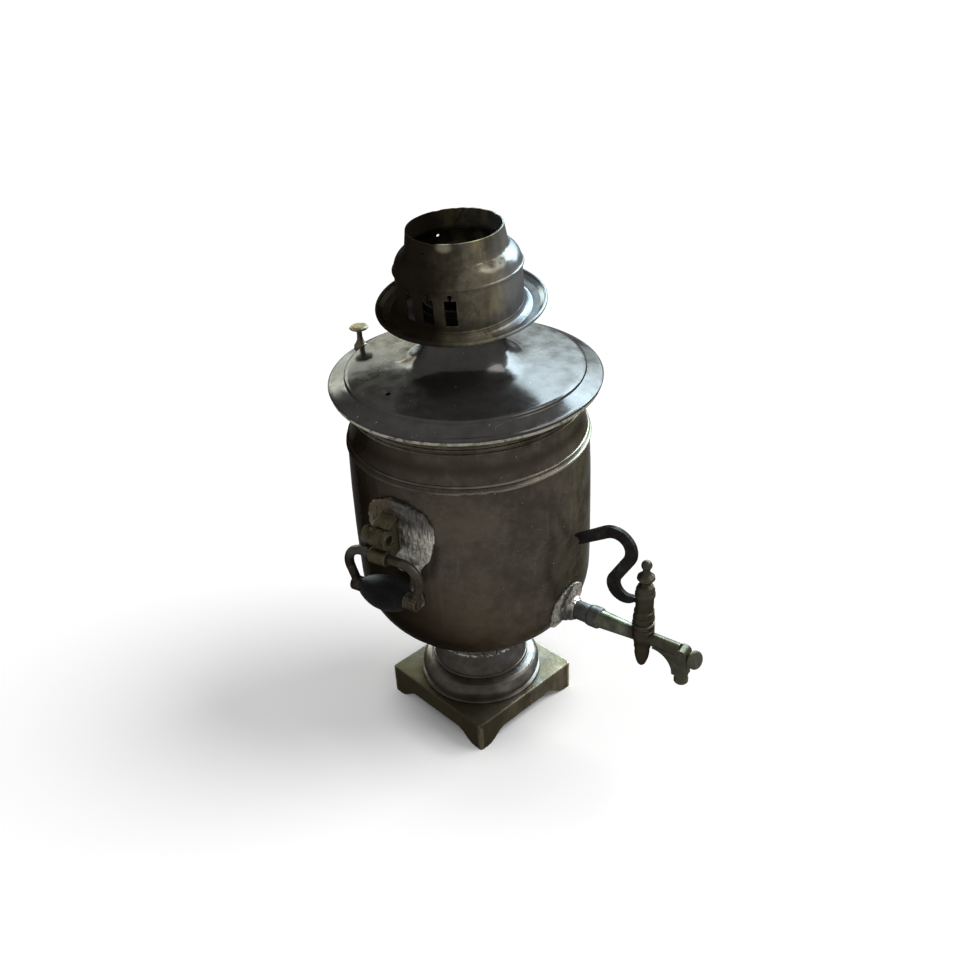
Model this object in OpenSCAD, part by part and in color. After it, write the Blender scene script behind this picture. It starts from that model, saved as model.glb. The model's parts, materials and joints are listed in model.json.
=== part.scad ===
// Charcoal samovar: a jar-shaped water jacket round a central fire tube, on a
// spun foot and a square cast plate, with a plug tap, two drop handles,
// a lift-off lid and a lift-off crown. Millimetres, +Z up, tap towards -Y,
// origin on the jacket's axis at table level.

/* [Base plate] */
// Side of the square plate
base_w = 132; // [120:1:150]
// Height of the plate's top above the table
base_h = 33; // [27:1:40]
// Wall of the plate's top and skirt
base_t = 6; // [4:0.5:8]
// Height of the arch under each side
arch_h = 12.5; // [8:0.5:16]
// Width of each corner foot along a side
foot_w = 10; // [8:1:14]
// Length of the curve from a foot up to the arch's crest
arch_ramp = 25; // [15:1:32]
// Radius of the plate's upright corners
base_corner_r = 3; // [2:0.5:6]
// Turn of the plate against the tap, seen from above
base_turn = -10; // [-20:1:20]

/* [Foot] */
// Radius of the bead that rests on the plate
foot_r = 61.5; // [58:0.5:64]
// Radius of the round bulge of the foot
bulge_r = 60; // [57:0.5:61]
// Height of the skirt, from the plate to the step
skirt_h = 22.5; // [20:0.5:28]
// Radius of the vented neck at its foot
drum_r = 47; // [45:0.5:48]
// Height of the vented neck
drum_h = 41; // [34:1:50]
// Sheet thickness of the foot
foot_t = 2; // [1.2:0.1:2.5]
// Height of the pointed vents
vent_h = 12; // [8:0.5:15]
// Width of a vent along its upper edge
vent_w = 10; // [7:0.5:12]
// Number of pointed vents
vent_n = 22; // [14:1:22]

/* [Jacket] */
// Radius of the jacket where its wall begins
body_r = 110.5; // [104:0.5:114]
// Swell of the wall at half its height
body_swell = 1; // [0:0.1:2]
// Height of the rounded bottom
bottom_h = 80.5; // [66:0.5:92]
// Height of the upright wall up to the shoulder
wall_h = 136; // [110:1:170]
// Height of the hollow between shoulder and neck
cove_h = 33; // [28:1:40]
// How far the neck stands inside the wall
neck_set = 7.3; // [6.2:0.1:12]
// Sheet thickness of the jacket
body_t = 1.5; // [1:0.1:2]

/* [Neck ring] */
// Height of the ring that carries the lid
collar_h = 22; // [20:0.5:28]
// How far the ring's lip stands out from the neck
lip_out = 15.3; // [12:0.1:17]

/* [Fire tube] */
// Outer radius of the tube at the jacket's bottom
fire_r = 38; // [34:0.5:40]
// Outer radius of the tube's upper end
flue_r = 33; // [30:0.5:34]
// Sheet thickness of the tube
fire_t = 1.5; // [1:0.1:2]
// Width of the ledge that carries the grate
ledge_w = 5; // [3:0.5:7]
// Thickness of the grate
grate_t = 4; // [3:0.5:6]
// Gap between the grate and the tube
grate_gap = 0.8; // [0.4:0.1:1.5]
// How far the tube stands above the lid's neck
flue_up = 13; // [10:0.5:18]

/* [Lid] */
// How far the lid's edge stands out over the lip
lid_over = 1.5; // [0.5:0.1:3]
// Sheet thickness of the lid
lid_t = 1.3; // [0.8:0.1:1.5]
// Width of the sloping rim
rim_w = 14.5; // [13.5:0.5:16]
// Rise of the sloping rim from the edge to the step
rim_rise = 4.6; // [2:0.2:6]
// Height of the step
panel_h = 3.6; // [2.6:0.2:5]
// Height from the lid's seat to the top of its neck
lid_neck_h = 60; // [52:1:68]
// Gap between the lid's neck and the fire tube
flue_gap = 0.8; // [0.4:0.1:1.2]
// Gap between the lid's sleeve and the jacket's neck
sleeve_gap = 1; // [0.5:0.1:2]
// Depth of the lid's sleeve
sleeve_h = 9; // [6:0.5:14]
// Radius of the steam hole
steam_r = 2.5; // [1.5:0.5:4]
// Distance of the steam hole from the panel's step
steam_in = 22; // [12:0.5:35]
// Direction of the steam hole, from the tap towards +X
steam_dir = -103; // [-150:1:-60]

/* [Lid knob] */
// Distance of the knob from the lid's edge
knob_in = 10.5; // [9:0.5:11]
// Direction of the knob, from the tap towards +X
knob_dir = -173; // [-180:1:-120]
// Radius of the knob's foot
knob_foot_r = 6.2; // [4:0.1:6.5]
// Radius of the knob's cap
knob_r = 8.8; // [6:0.1:10]
// Height of the knob above the lid's step
knob_h = 20; // [14:1:28]
// Radius of the knob's stem
knob_stem_r = 2.2; // [1.5:0.1:2.5]

/* [Crown] */
// Outer radius of the pierced wall
crown_r = 53; // [50:0.5:55]
// Height of the pierced wall above the crown's floor
crown_wall_h = 38; // [35:1:46]
// Outer radius of the crown's mouth
mouth_r = 40; // [36:0.5:43]
// Height from the bead to the mouth
crown_tube_h = 34; // [30:1:42]
// Sheet thickness of the crown
crown_t = 1.2; // [0.8:0.1:1.5]
// Outer radius of the brim
brim_r = 72.4; // [68:0.2:78]
// Height of the brim's edge above the crown's floor
brim_h = 7; // [6.5:0.5:12]
// Bend of the brim, down towards the front left
brim_bend = 4; // [0:0.5:5]
// Lean of the whole crown on its seat
crown_lean = 3; // [0:0.5:3]
// Height of the collar inside the crown
collar_up = 8; // [5:0.5:9]
// Gap between the crown's collar and the fire tube
collar_gap = 1.2; // [1:0.1:1.6]
// Width of a window
slot_w = 10; // [6:0.5:12]
// Height of a window
slot_h = 22; // [14:1:24]
// Angle between neighbouring windows
slot_step = 21; // [18:1:26]
// Direction of each group's middle window, from the tap towards +X
slot_dir = -82; // [-100:1:-60]

/* [Tap] */
// Height of the tap's axis above the table
tap_z = 157; // [150:1:164]
// Distance of the plug's axis from the jacket's wall
tap_reach = 74.5; // [66:0.5:90]
// Radius of the solder round the tap
tap_patch_r = 22; // [19:1:26]
// Outer radius of the tinned socket
socket_r = 8.8; // [7.8:0.1:9.8]
// Radius of the ring at the socket's end
ferrule_r = 10.2; // [9.9:0.1:12]
// Outer radius of the tube at the socket
tube_r1 = 9; // [8:0.1:9.4]
// Outer radius of the tube at the barrel
tube_r2 = 6.4; // [6.2:0.1:7.4]
// Radius of the waterway
bore_r = 3.5; // [2.5:0.1:4]
// Radius of the barrel
barrel_r = 10.2; // [9.4:0.1:11.5]
// Height of the barrel
barrel_h = 39; // [34:1:46]
// Radius of the plug at the barrel's top
plug_r1 = 6.6; // [6:0.1:7.2]
// Radius of the plug at the barrel's foot
plug_r2 = 5.4; // [5:0.1:5.8]
// Running clearance of the plug in the barrel, on the radius
plug_gap = 0.05; // [0.02:0.01:0.09]
// Gap between the head and the barrel's rim
head_gap = 0.3; // [0.2:0.1:0.6]
// Height of the turned head above the barrel
head_h = 56; // [46:1:66]
// Radius of the head's neck
head_r = 8.1; // [7:0.1:9]
// Distance of the nozzle from the plug's axis
nozzle_at = 42; // [37:0.5:48]
// Depth of the nozzle's mouth under the tap's axis
nozzle_drop = 34.5; // [31:0.5:42]
// Outer radius of the nozzle's ring
nozzle_r = 6.5; // [5.5:0.1:8]

/* [Lever] */
// Thickness of the flat lever
lever_t = 4; // [3:0.5:5]
// Width of the lever's bar
lever_w = 11; // [8:0.5:12]
// Width of the lever where it enters the plug's head
lever_root = 6; // [5:0.5:8]
// Extra width of the lever's lower bend
lever_belly = 4; // [0:0.5:5]
// Radius of the lever's lower bend, at the middle of the bar
lever_bend = 13; // [11.5:0.5:14.5]
// Radius of the lever's upper bend, at the middle of the bar
lever_crook = 16.5; // [14:0.5:18]
// Length of the lever's straight tail
lever_tail = 34; // [25:1:37]

/* [Handles] */
// Height of the handle's pivot above the table
pivot_z = 253.5; // [245:0.5:262]
// Distance of the pivot from the jacket's wall
pivot_out = 21; // [19:0.5:25]
// Height of the ringed roll above the pivot
roll_up = 20; // [18:0.5:24]
// Radius of the ringed roll
knuckle_r = 7.4; // [6.4:0.1:8.2]
// Length of the ringed roll
knuckle_l = 24.5; // [20:0.5:29]
// Radius of the bearing that carries the bail
bearing_r = 7; // [6.2:0.1:8]
// Radius of the bail's rod
bail_r = 4.1; // [3.4:0.1:4.4]
// Running clearance of the bail in its bearing, on the radius
bail_gap = 0.06; // [0.02:0.01:0.09]
// Distance from the pivot down to the grip's axis
bail_drop = 38.5; // [36:0.5:44]
// Radius of the bail's upper bends
bail_bend = 16; // [13:0.5:18]
// Width of the lug
lug_w = 17; // [13:1:20]
// Length of the wooden grip
grip_l = 44; // [39:1:50]
// Radius of the grip at its middle
grip_r = 15.5; // [12:0.5:16.5]
// Radius of the grip at its ends
grip_end_r = 9; // [7:0.5:10]
// Radius of the rod through the grip
rod_r = 2.5; // [2:0.1:3]
// Running clearance of the grip on its rod, on the radius
grip_gap = 0.08; // [0.02:0.01:0.1]
// Turn of the left handle, soldered back on a little crooked
handle_yaw = 4.3; // [0:0.1:6]
// How far the left bail has slid along its bearing
bail_slide = 2; // [-5:0.5:5]
// Half width of the large solder patch on the left
patch_w = 33; // [28:1:38]
// Half height of the large solder patch on the left
patch_h = 38; // [30:1:44]
// How far the solder ran down under the left lug
patch_run = 68; // [45:1:76]
// Half width of the small solder patch on the right
neat_w = 17; // [14:1:22]
// Half height of the small solder patch on the right
neat_h = 22; // [18:1:28]
// Thickness of the solder above the wall
patch_t = 2.5; // [1.5:0.5:4]

/* [Hidden] */
$fn = 96;
eps = 0.01;

// Heights, stacked from the table upwards
skirt_z = base_h;
drum_z = skirt_z + skirt_h;
bottom_z = drum_z + drum_h;
wall_z = bottom_z + bottom_h;
shoulder_z = wall_z + wall_h;
neck_z = shoulder_z + cove_h;
lid_z = neck_z + collar_h;
neck_r = body_r - neck_set;
lip_r = neck_r + lip_out;
lid_r = lip_r + lid_over;
panel_r = lid_r - rim_w;
plug_at = body_r + tap_reach;
seat_z = lid_z + lid_neck_h;
flue_top = seat_z + flue_up;

brass = "#6f6450";
dark_brass = "#4a4136";
tin = "#8b8c88";
iron = "#2e2b29";
ebony = "#17181c";

// --- Outlines ---------------------------------------------------------------

// Points on an arc about c, from angle a0 to a1 in n steps
function arc(c, r, a0, a1, n) =
    [for (i = [0:n]) c + r * [cos(a0 + (a1 - a0) * i / n), sin(a0 + (a1 - a0) * i / n)]];

// The same list, last point first
function back(p) = [for (i = [len(p) - 1:-1:0]) p[i]];

// A turned outline: shares of a radius and a height, made into lengths
function turned(shares, r, h) = [for (p = shares) [p[0] * r, p[1] * h]];

// A closed ring section between an outer and an inner path
module shell(outer, inner) {
    rotate_extrude() polygon(concat(outer, back(inner)));
}

// --- Base -------------------------------------------------------------------

module rounded_square(w, r) {
    square([w - 2 * r, w], center = true);
    square([w, w - 2 * r], center = true);
    for (x = [-1, 1], y = [-1, 1])
        translate([x, y] * (w / 2 - r)) circle(r);
}

// Ogee from a foot up to the arch's crest and down to the other foot
function arch_side(s) = [for (i = [0:8])
    [s * (base_w / 2 - foot_w - arch_ramp * i / 8), arch_h * (1 - cos(180 * i / 8)) / 2]];

module arch_cut() {
    rotate([90, 0, 0]) linear_extrude(base_w + 2, center = true)
        polygon(concat([[-base_w / 2 + foot_w, -1]], arch_side(-1),
            back(arch_side(1)), [[base_w / 2 - foot_w, -1]]));
}

// The draught hole lies this far inside the neck that stands over it
draught_in = 6;

module base_plate() {
    color(brass) rotate(base_turn) difference() {
        linear_extrude(base_h) rounded_square(base_w, base_corner_r);
        translate([0, 0, -1]) linear_extrude(base_h - base_t + 1)
            square(base_w - 2 * base_t, center = true);
        arch_cut();
        rotate(90) arch_cut();
        cylinder(r = drum_r - foot_t - draught_in, h = base_h + 1);
    }
}

// --- Foot -------------------------------------------------------------------

bead_r = 1.6;
bulge_q = 11.5;
drum_taper = 2;

groove_z = skirt_z + 2 * bead_r + 0.6;

// The round bulge from the groove up to the step, t inside the outer face
function bulge_path(t) = concat(
    [[bulge_r - 1.5 - t, groove_z - t * 0.3]],
    arc([bulge_r - bulge_q, drum_z - bulge_q], bulge_q - t, -20, 90, 9),
    [[drum_r - 2 * foot_t, drum_z - t]]);

module foot_skirt() {
    bead = arc([foot_r - bead_r, skirt_z + bead_r], bead_r, -80, 90, 8);
    color(tin) shell(concat([[foot_r - bead_r, skirt_z]], bead, bulge_path(0)),
        concat([[foot_r - bead_r - foot_t, skirt_z]], bulge_path(foot_t)));
}

vent_top = 2;
neck_bead = 1.5;

module vent_neck() {
    top_r = drum_r - drum_taper;
    color(tin) difference() {
        shell(concat([[drum_r, drum_z]], arc([drum_r, drum_z + neck_bead], neck_bead, -80, 80, 6),
                [[top_r, bottom_z]]),
            [[drum_r - foot_t, drum_z], [top_r - foot_t, bottom_z]]);
        for (i = [0:vent_n - 1]) rotate(i * 360 / vent_n)
            translate([0, -drum_r / 2, bottom_z - vent_top]) rotate([90, 0, 0]) linear_extrude(drum_r)
                polygon([[-vent_w / 2, 0], [0, -vent_h], [vent_w / 2, 0]]);
    }
}

// --- Jacket -----------------------------------------------------------------

seat_r = drum_r - drum_taper + 0.4;
bottom_a = 38;
bottom_q = bottom_h / (1 / cos(bottom_a) - seat_r / body_r * tan(bottom_a));
cone_a = atan(bottom_q / body_r * tan(bottom_a));
wall_taper = 1.5;
shoulder_r = body_r - wall_taper;
ridge_r = 1.4;
ridge_gap = 6.6;
cove_z = shoulder_z + ridge_gap + ridge_r;
cove_in = shoulder_r - 1.8 - neck_r;
cove_up = neck_z - cove_z;
cove_q = (cove_in * cove_in + cove_up * cove_up) / (2 * cove_in);
cove_a = asin(cove_up / cove_q);

// Bottom: a cone on the neck, which runs on into a part of an ellipse
function bottom_path(t) = concat([[seat_r - t * tan(cone_a / 2), bottom_z + t]],
    [for (i = [0:11]) let (a = bottom_a + (90 - bottom_a) * i / 11)
        [(body_r - t) * sin(a), wall_z - (bottom_q - t) * cos(a)]]);

// Upright wall with a slight swell
function wall_path(t) = [for (i = [1:10])
    [body_r - t + body_swell * sin(18 * i) - wall_taper * i / 10, wall_z + wall_h * i / 10]];

// Two ridges and the hollow above them
function shoulder_path(t) = concat(
    t > 0 ? [] : arc([shoulder_r, shoulder_z + ridge_r], ridge_r, -60, 80, 5),
    [[shoulder_r - 1.2 - t, shoulder_z + ridge_gap / 2 + 1]],
    t > 0 ? [] : arc([shoulder_r - 1.6, shoulder_z + ridge_gap], ridge_r, -60, 70, 5),
    arc([neck_r + cove_q, neck_z], cove_q + t, 180 + cove_a, 180, 8));

function jacket_path(t) = concat(bottom_path(t), wall_path(t), shoulder_path(t));

module body_shell() {
    color(brass) shell(concat([[fire_r, bottom_z]], jacket_path(0)),
        concat([[fire_r, bottom_z + body_t]], jacket_path(body_t)));
}

// The jacket's outside as a plug, to shape what is soldered on it
module jacket_solid() {
    rotate_extrude() polygon(concat([[0, bottom_z]], jacket_path(0), [[0, neck_z]]));
}

// The lower jacket grown by t, for the face of flat solder
module grown_jacket(t) {
    rotate_extrude() polygon(concat([[0, bottom_z - t]], bottom_path(-t), wall_path(-t), [[0, shoulder_z]]));
}

// --- Neck ring --------------------------------------------------------------

ring_bead = 1.5;
funnel_z = neck_z + 8.5;

function funnel(t) = [for (i = [0:7]) let (s = i / 7)
    [neck_r + 1 + (lip_r - 1 - neck_r - 1) * s * s * (1.6 - 0.6 * s) - t * (0.3 + 0.7 * (1 - s)),
     funnel_z + (lid_z - 4 - funnel_z) * s + (t > 0 ? 1.2 * s : 0)]];

module neck_ring() {
    color(brass) shell(
        concat([[neck_r, neck_z]],
            arc([neck_r, neck_z + ring_bead], ring_bead, -80, 80, 6),
            [[neck_r + 0.4, neck_z + 2 * ring_bead + 0.8]],
            arc([neck_r + 0.8, neck_z + 3 * ring_bead + 1.8], ring_bead, -80, 80, 6),
            funnel(0),
            [[lip_r, lid_z - 3], [lip_r, lid_z - 0.8], [lip_r - 0.8, lid_z]]),
        concat([[neck_r - body_t, neck_z]], funnel(body_t), [[lip_r - 3, lid_z]]));
}

// --- Fire tube and grate ----------------------------------------------------

ledge_t = 2;
firebox_z = bottom_z + 14;
flue_straight = seat_z - 24;

module fire_tube() {
    color(dark_brass) shell(
        [[fire_r, bottom_z], [fire_r, firebox_z], [flue_r, flue_straight], [flue_r, flue_top]],
        [[fire_r - fire_t - ledge_w, bottom_z], [fire_r - fire_t - ledge_w, bottom_z + ledge_t],
         [fire_r - fire_t, bottom_z + ledge_t], [fire_r - fire_t, firebox_z],
         [flue_r - fire_t, flue_straight], [flue_r - fire_t, flue_top]]);
}

grate_r = fire_r - fire_t - grate_gap;
grate_bar = 4;

module grate() {
    color(iron) translate([0, 0, bottom_z + ledge_t]) difference() {
        cylinder(r = grate_r, h = grate_t);
        for (i = [-3:3]) let (x = i * 2 * grate_bar, half = sqrt(pow(grate_r - 5, 2) - x * x))
            translate([x - grate_bar / 2, -half, -1]) cube([grate_bar, 2 * half, grate_t + 2]);
    }
}

// --- Lid --------------------------------------------------------------------

rim_q = 1.6;
rim_z = lid_z + 2 * rim_q;
step_z = rim_z + rim_rise;
panel_z = step_z + panel_h;
panel_rise = 2.4;
step_w = 5;
neck_in = flue_r + flue_gap;
neck_out = neck_in + lid_t;
flare_w = 26;
flare_h = 28;
flare_z = panel_z + panel_rise + flare_h;

// Sloping rim, step, panel and the flare up to the neck, from the edge inwards
function lid_path(t) = concat(
    [[lid_r - rim_q, rim_z - t], [panel_r + 0.6, step_z - t], [panel_r, step_z + 0.4 - t]],
    [for (i = [0:5]) let (a = 18 * i)
        [panel_r - step_w + (step_w - t * 0.6) * cos(a), step_z + 0.4 + (panel_h - 0.4) * sin(a) - t]],
    [for (i = [0:9]) let (a = 10 * i)
        [neck_out + flare_w * (1 - sin(a)) - t * sin(a),
         flare_z - (flare_h + t) * cos(a)]],
    [[neck_out - t, seat_z]]);

module lid() {
    sleeve_r = neck_r - body_t - sleeve_gap;
    color(brass) difference() {
        union() {
            shell(lid_path(0), lid_path(lid_t));
            rotate_extrude() translate([lid_r - rim_q, lid_z + rim_q]) circle(rim_q, $fn = 24);
            rotate_extrude() translate([sleeve_r - lid_t, lid_z - sleeve_h])
                square([lid_t, sleeve_h + panel_z - lid_t / 2 - lid_z]);
        }
        rotate(steam_dir) translate([0, steam_in - panel_r, lid_z]) cylinder(r = steam_r, h = 30);
        at_knob(lid_z) cylinder(r = knob_stem_r, h = 30);
    }
}

// All that lies more than t under the lid's top face, outside its neck
module under_lid(t) {
    rotate_extrude() polygon(concat([[lid_r, lid_z - 20], [lid_r, rim_z - t]], lid_path(t),
        [[neck_out - t, lid_z - 20]]));
}

knob_at = lid_r - knob_in;
washer_t = 1.4;

module at_knob(z) {
    rotate(knob_dir) translate([0, -knob_at, z]) children();
}

// Mushroom on a foot shaped to the lid, with a stud through the sloping rim
module lid_knob() {
    foot = turned([[1, 0], [0.92, 0.08], [0.7, 0.16], [0.48, 0.3], [0.4, 0.48]], knob_foot_r, knob_h);
    cap = turned([[0.28, 0.72], [0.55, 0.82], [0.94, 0.86], [1, 0.9], [0.94, 0.95], [0.6, 0.99], [0, 1]],
        knob_r, knob_h);
    color(brass) {
        difference() {
            at_knob(step_z) rotate_extrude()
                polygon(concat([[0, -rim_rise], [knob_foot_r, -rim_rise]], foot, cap));
            under_lid(0);
        }
        at_knob(rim_z - lid_t) cylinder(r = knob_stem_r, h = rim_rise + lid_t + 1);
    }
}

module lid_knob_rivet() {
    washer_r = knob_stem_r + 1.3;
    color(brass) difference() {
        intersection() {
            at_knob(rim_z - lid_t - washer_t) cylinder(r = washer_r, h = rim_rise + 2 * washer_t);
            under_lid(lid_t);
        }
        under_lid(lid_t + washer_t);
        at_knob(lid_z - 10) cylinder(r = knob_stem_r, h = 40);
    }
}

// --- Crown ------------------------------------------------------------------

lean_dir = -92;
bend_dir = -52;
crown_z = seat_z;
bead_z = crown_z + crown_wall_h;
mouth_z = bead_z + crown_tube_h;
collar_in = flue_r + collar_gap;
skirt_down = 4;
brim_roll = 1.5;
shoulder_q = 15.5;

// Leans the crown about the edge of the lid's neck that it rests on
module on_seat() {
    rotate(lean_dir) translate([0, -neck_out, crown_z]) rotate([crown_lean, 0, 0])
        translate([0, neck_out, -crown_z]) rotate(-lean_dir) children();
}

module crown_base() {
    color(dark_brass) on_seat() difference() {
        union() {
            translate([0, 0, crown_z]) cylinder(r = crown_r - crown_t, h = crown_t);
            translate([0, 0, crown_z]) cylinder(r = collar_in + crown_t, h = collar_up);
        }
        translate([0, 0, crown_z - 1]) cylinder(r = collar_in, h = collar_up + 2);
    }
}

// Dish with a rolled edge and a hollow fillet against the wall
module brim_dish() {
    rotate_extrude() {
        polygon(concat(
            [[brim_r - brim_roll, 0], [brim_r - 6, -3.5], [crown_r + 8, -4.2]],
            arc([crown_r + 7, 2.5], 7, 270, 190, 5),
            [[crown_r - 3, 4], [crown_r - 3, -5], [crown_r + 7.6, -4.5 - crown_t],
             [brim_r - 6, -3.6 - crown_t], [brim_r - brim_roll, -brim_roll]]));
        translate([brim_r - brim_roll, 0]) circle(brim_roll, $fn = 24);
    }
}

module crown_brim() {
    color(brass) on_seat() difference() {
        translate([0, 0, crown_z + brim_h]) rotate(bend_dir) rotate([brim_bend, 0, 0]) brim_dish();
        translate([0, 0, crown_z - 30]) cylinder(r = crown_r, h = 80);
    }
}

// A window with a pointed top and a small round hole above it
module window() {
    linear_extrude(20) {
        translate([-slot_w / 2, 0]) square([slot_w, slot_h]);
        polygon([[-1, slot_h - 1], [1, slot_h - 1], [1, slot_h + 3], [-1, slot_h + 3]]);
        translate([0, slot_h + 3]) circle(2, $fn = 24);
    }
}

module crown_wall() {
    color(brass) on_seat() difference() {
        translate([0, 0, crown_z - skirt_down])
            cylinder(r = crown_r, h = crown_wall_h + skirt_down);
        translate([0, 0, crown_z - skirt_down - 1])
            cylinder(r = crown_r - crown_t, h = crown_wall_h + skirt_down + 2);
        for (side = [0, 180], k = [-1, 0, 1])
            rotate(slot_dir + side + k * slot_step)
                translate([0, -crown_r + 10, bead_z - 7 - slot_h]) rotate([90, 0, 0]) window();
    }
}

pin_hole_dirs = [-92, 148];
pin_hole_down = 7;
pin_hole_r = 1.5;

function tube_path(t) = concat(
    t > 0 ? [[crown_r - t, bead_z]] :
        arc([crown_r, bead_z + 1.5], 1.5, -90, 70, 6),
    arc([crown_r - shoulder_q, bead_z + 2], shoulder_q - t, t > 0 ? 0 : 8, 66, 7),
    [[mouth_r + 2.6 - t, bead_z + 18], [mouth_r - t, mouth_z]]);

module crown_tube() {
    color(brass) on_seat() difference() {
        shell(tube_path(0), tube_path(crown_t));
        for (d = pin_hole_dirs) rotate(d) translate([0, 0, mouth_z - pin_hole_down]) rotate([90, 0, 0])
            cylinder(r = pin_hole_r, h = 2 * mouth_r, $fn = 24);
    }
}

// --- Tap --------------------------------------------------------------------

socket_end = body_r + 19;
ferrule_l = 13;
ferrule_q = 2.5;
barrel_z = tap_z - 12;
barrel_top = barrel_z + barrel_h;
arm_r = 6.2;
slab_w = 11;
slab_t = 12;
nozzle_y = plug_at + nozzle_at;
nozzle_z = tap_z - nozzle_drop;
solder_in = 12;
solder_l = 18;
solder_t = 2.5;
solder_at = [-5, 4];
nozzle_h = 9;
tube_z = socket_end + 4;

// Along the tap's axis: +Z of the child becomes -Y, at distance d from the jacket's axis
module along_tap(d) {
    translate([0, -d, tap_z]) rotate([90, 0, 0]) children();
}

// Flat solder round the tap's root, with a fillet up to the socket
module tap_solder() {
    start = body_r - solder_in;
    color(tin) difference() {
        union() {
            intersection() {
                along_tap(start - 20) linear_extrude(40) translate(solder_at)
                    oval(tap_patch_r, 1.2 * tap_patch_r);
                grown_jacket(solder_t);
            }
            along_tap(start) cylinder(r1 = socket_r + 9, r2 = socket_r + 0.8, h = solder_l);
        }
        jacket_solid();
        along_tap(start - 1) cylinder(r = socket_r, h = solder_l + 2);
    }
}

module tap_socket() {
    color(tin) difference() {
        union() {
            along_tap(body_r - solder_in) cylinder(r = socket_r, h = socket_end - body_r + solder_in);
            along_tap(socket_end) rotate_extrude() polygon(concat(
                [[0, 0], [ferrule_r - 0.8, 0], [ferrule_r, 3]],
                arc([ferrule_r - ferrule_q, ferrule_l - ferrule_q], ferrule_q, 0, 72, 4),
                [[0, ferrule_l - 0.1]]));
        }
        jacket_solid();
        along_tap(body_r - 20) cylinder(r = bore_r, h = 80);
        along_tap(tube_z) cylinder(r = tube_r1, h = ferrule_l);
    }
}

// Barrel with turned rings, from its foot upwards
module barrel_outline() {
    translate([0, barrel_z]) polygon(turned([[0, 0], [0.74, 0], [0.78, 0.15], [1, 0.33], [1, 0.54],
        [0.92, 0.56], [0.92, 0.62], [1, 0.64], [1, 0.72], [0.86, 0.74], [0.86, 0.79], [0.96, 0.82],
        [0.96, 0.88], [0.86, 0.91], [0.86, 0.96], [0.92, 0.98], [0.92, 1], [0, 1]], barrel_r, barrel_h));
}

elbow_in = nozzle_at - slab_w - 2;
elbow_drop = nozzle_drop - nozzle_h;
elbow_up = -1;
elbow_q = elbow_drop - arm_r + 1;
web_in = elbow_in - slab_w * 1.5;

// Side view of the cast elbow, along the arm from the plug's axis and up from the tap's axis
module elbow_outline() {
    translate([elbow_in + slab_w / 2, -elbow_drop]) square([slab_w, elbow_drop + elbow_up]);
    translate([elbow_in + slab_w, elbow_up]) circle(slab_w / 2);
    difference() {
        translate([web_in, -elbow_drop]) square([slab_w * 2.1, elbow_drop - arm_r / 2]);
        translate([web_in, -elbow_drop]) circle(elbow_q);
    }
}

module elbow() {
    translate([slab_t / 2, -plug_at, tap_z]) rotate([90, 0, -90]) linear_extrude(slab_t) elbow_outline();
}

tube_l = plug_at - tube_z - 4;

module tap_body() {
    color(dark_brass) difference() {
        union() {
            along_tap(tube_z) cylinder(r1 = tube_r1, r2 = tube_r2, h = tube_l);
            translate([0, -plug_at, 0]) rotate_extrude() barrel_outline();
            along_tap(plug_at + 4) cylinder(r = arm_r, h = elbow_in + slab_w / 2 - 2);
            elbow();
        }
        along_tap(tube_z - 1) cylinder(r = bore_r, h = plug_at - tube_z + nozzle_at - 2);
        translate([0, -nozzle_y + 2, nozzle_z]) cylinder(r = bore_r, h = tap_z - nozzle_z);
        translate([0, -plug_at, barrel_z - eps])
            cylinder(r1 = plug_r2 + plug_gap, r2 = plug_r1 + plug_gap, h = barrel_h + 2 * eps);
    }
}

module tap_nozzle() {
    color(dark_brass) translate([0, -nozzle_y + 2, nozzle_z]) difference() {
        rotate_extrude() polygon(turned([[0, 0], [0.88, 0], [1, 0.12], [1, 0.5], [0.86, 0.62], [0.86, 0.88],
            [0.94, 1], [0, 1]], nozzle_r, nozzle_h));
        translate([0, 0, -1]) cylinder(r = bore_r, h = nozzle_h + 2);
    }
}

leaf_r = 8.5;
leaf_out = 10;
leaf_down = 5;
leaf_tilt = 68;
leaf_yaw = -20;

module spout_leaf() {
    front = plug_at + elbow_in + slab_w * 1.5;
    color(dark_brass) difference() {
        translate([0, -front, tap_z - leaf_down]) rotate([leaf_tilt, 0, leaf_yaw]) rotate_extrude()
            polygon(turned([[0, -0.3], [0.5, -0.3], [0.4, 0.3], [0.56, 0.55], [1, 0.78], [1, 0.9],
                [0.86, 1], [0, 1]], leaf_r, leaf_out));
        elbow();
    }
}

lever_z = barrel_top + 0.19 * head_h;
lever_slot = 3;

// Turned head of the plug: flange, neck, bell, disc and ball
module head_outline() {
    ball_r = 0.6 * head_r;
    stub_r = plug_r1 - 0.5;
    polygon(concat([[0, -1], [stub_r, -1], [stub_r, head_gap], [1.12 * head_r, head_gap]],
        turned([[1.12, 0.045], [1, 0.06], [1, 0.32], [1.12, 0.34], [1.12, 0.39], [1, 0.41],
            [1.04, 0.46], [0.88, 0.52], [0.55, 0.56], [0.52, 0.59], [0.84, 0.64], [0.99, 0.67], [0.94, 0.71],
            [0.56, 0.76], [0.4, 0.8]], head_r, head_h),
        arc([0, head_h - ball_r], ball_r, -48, 90, 9)));
}

module tap_key() {
    color(dark_brass) translate([0, -plug_at, 0]) difference() {
        union() {
            translate([0, 0, barrel_z]) cylinder(r1 = plug_r2, r2 = plug_r1, h = barrel_h);
            translate([0, 0, barrel_top]) rotate_extrude() head_outline();
        }
        translate([0, 0, tap_z]) rotate([90, 0, 0]) cylinder(r = bore_r, h = 4 * plug_r1, center = true);
        translate([-lever_t / 2, lever_slot, lever_z - lever_root / 2])
            cube([lever_t, 2 * head_r, lever_root]);
    }
}

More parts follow.
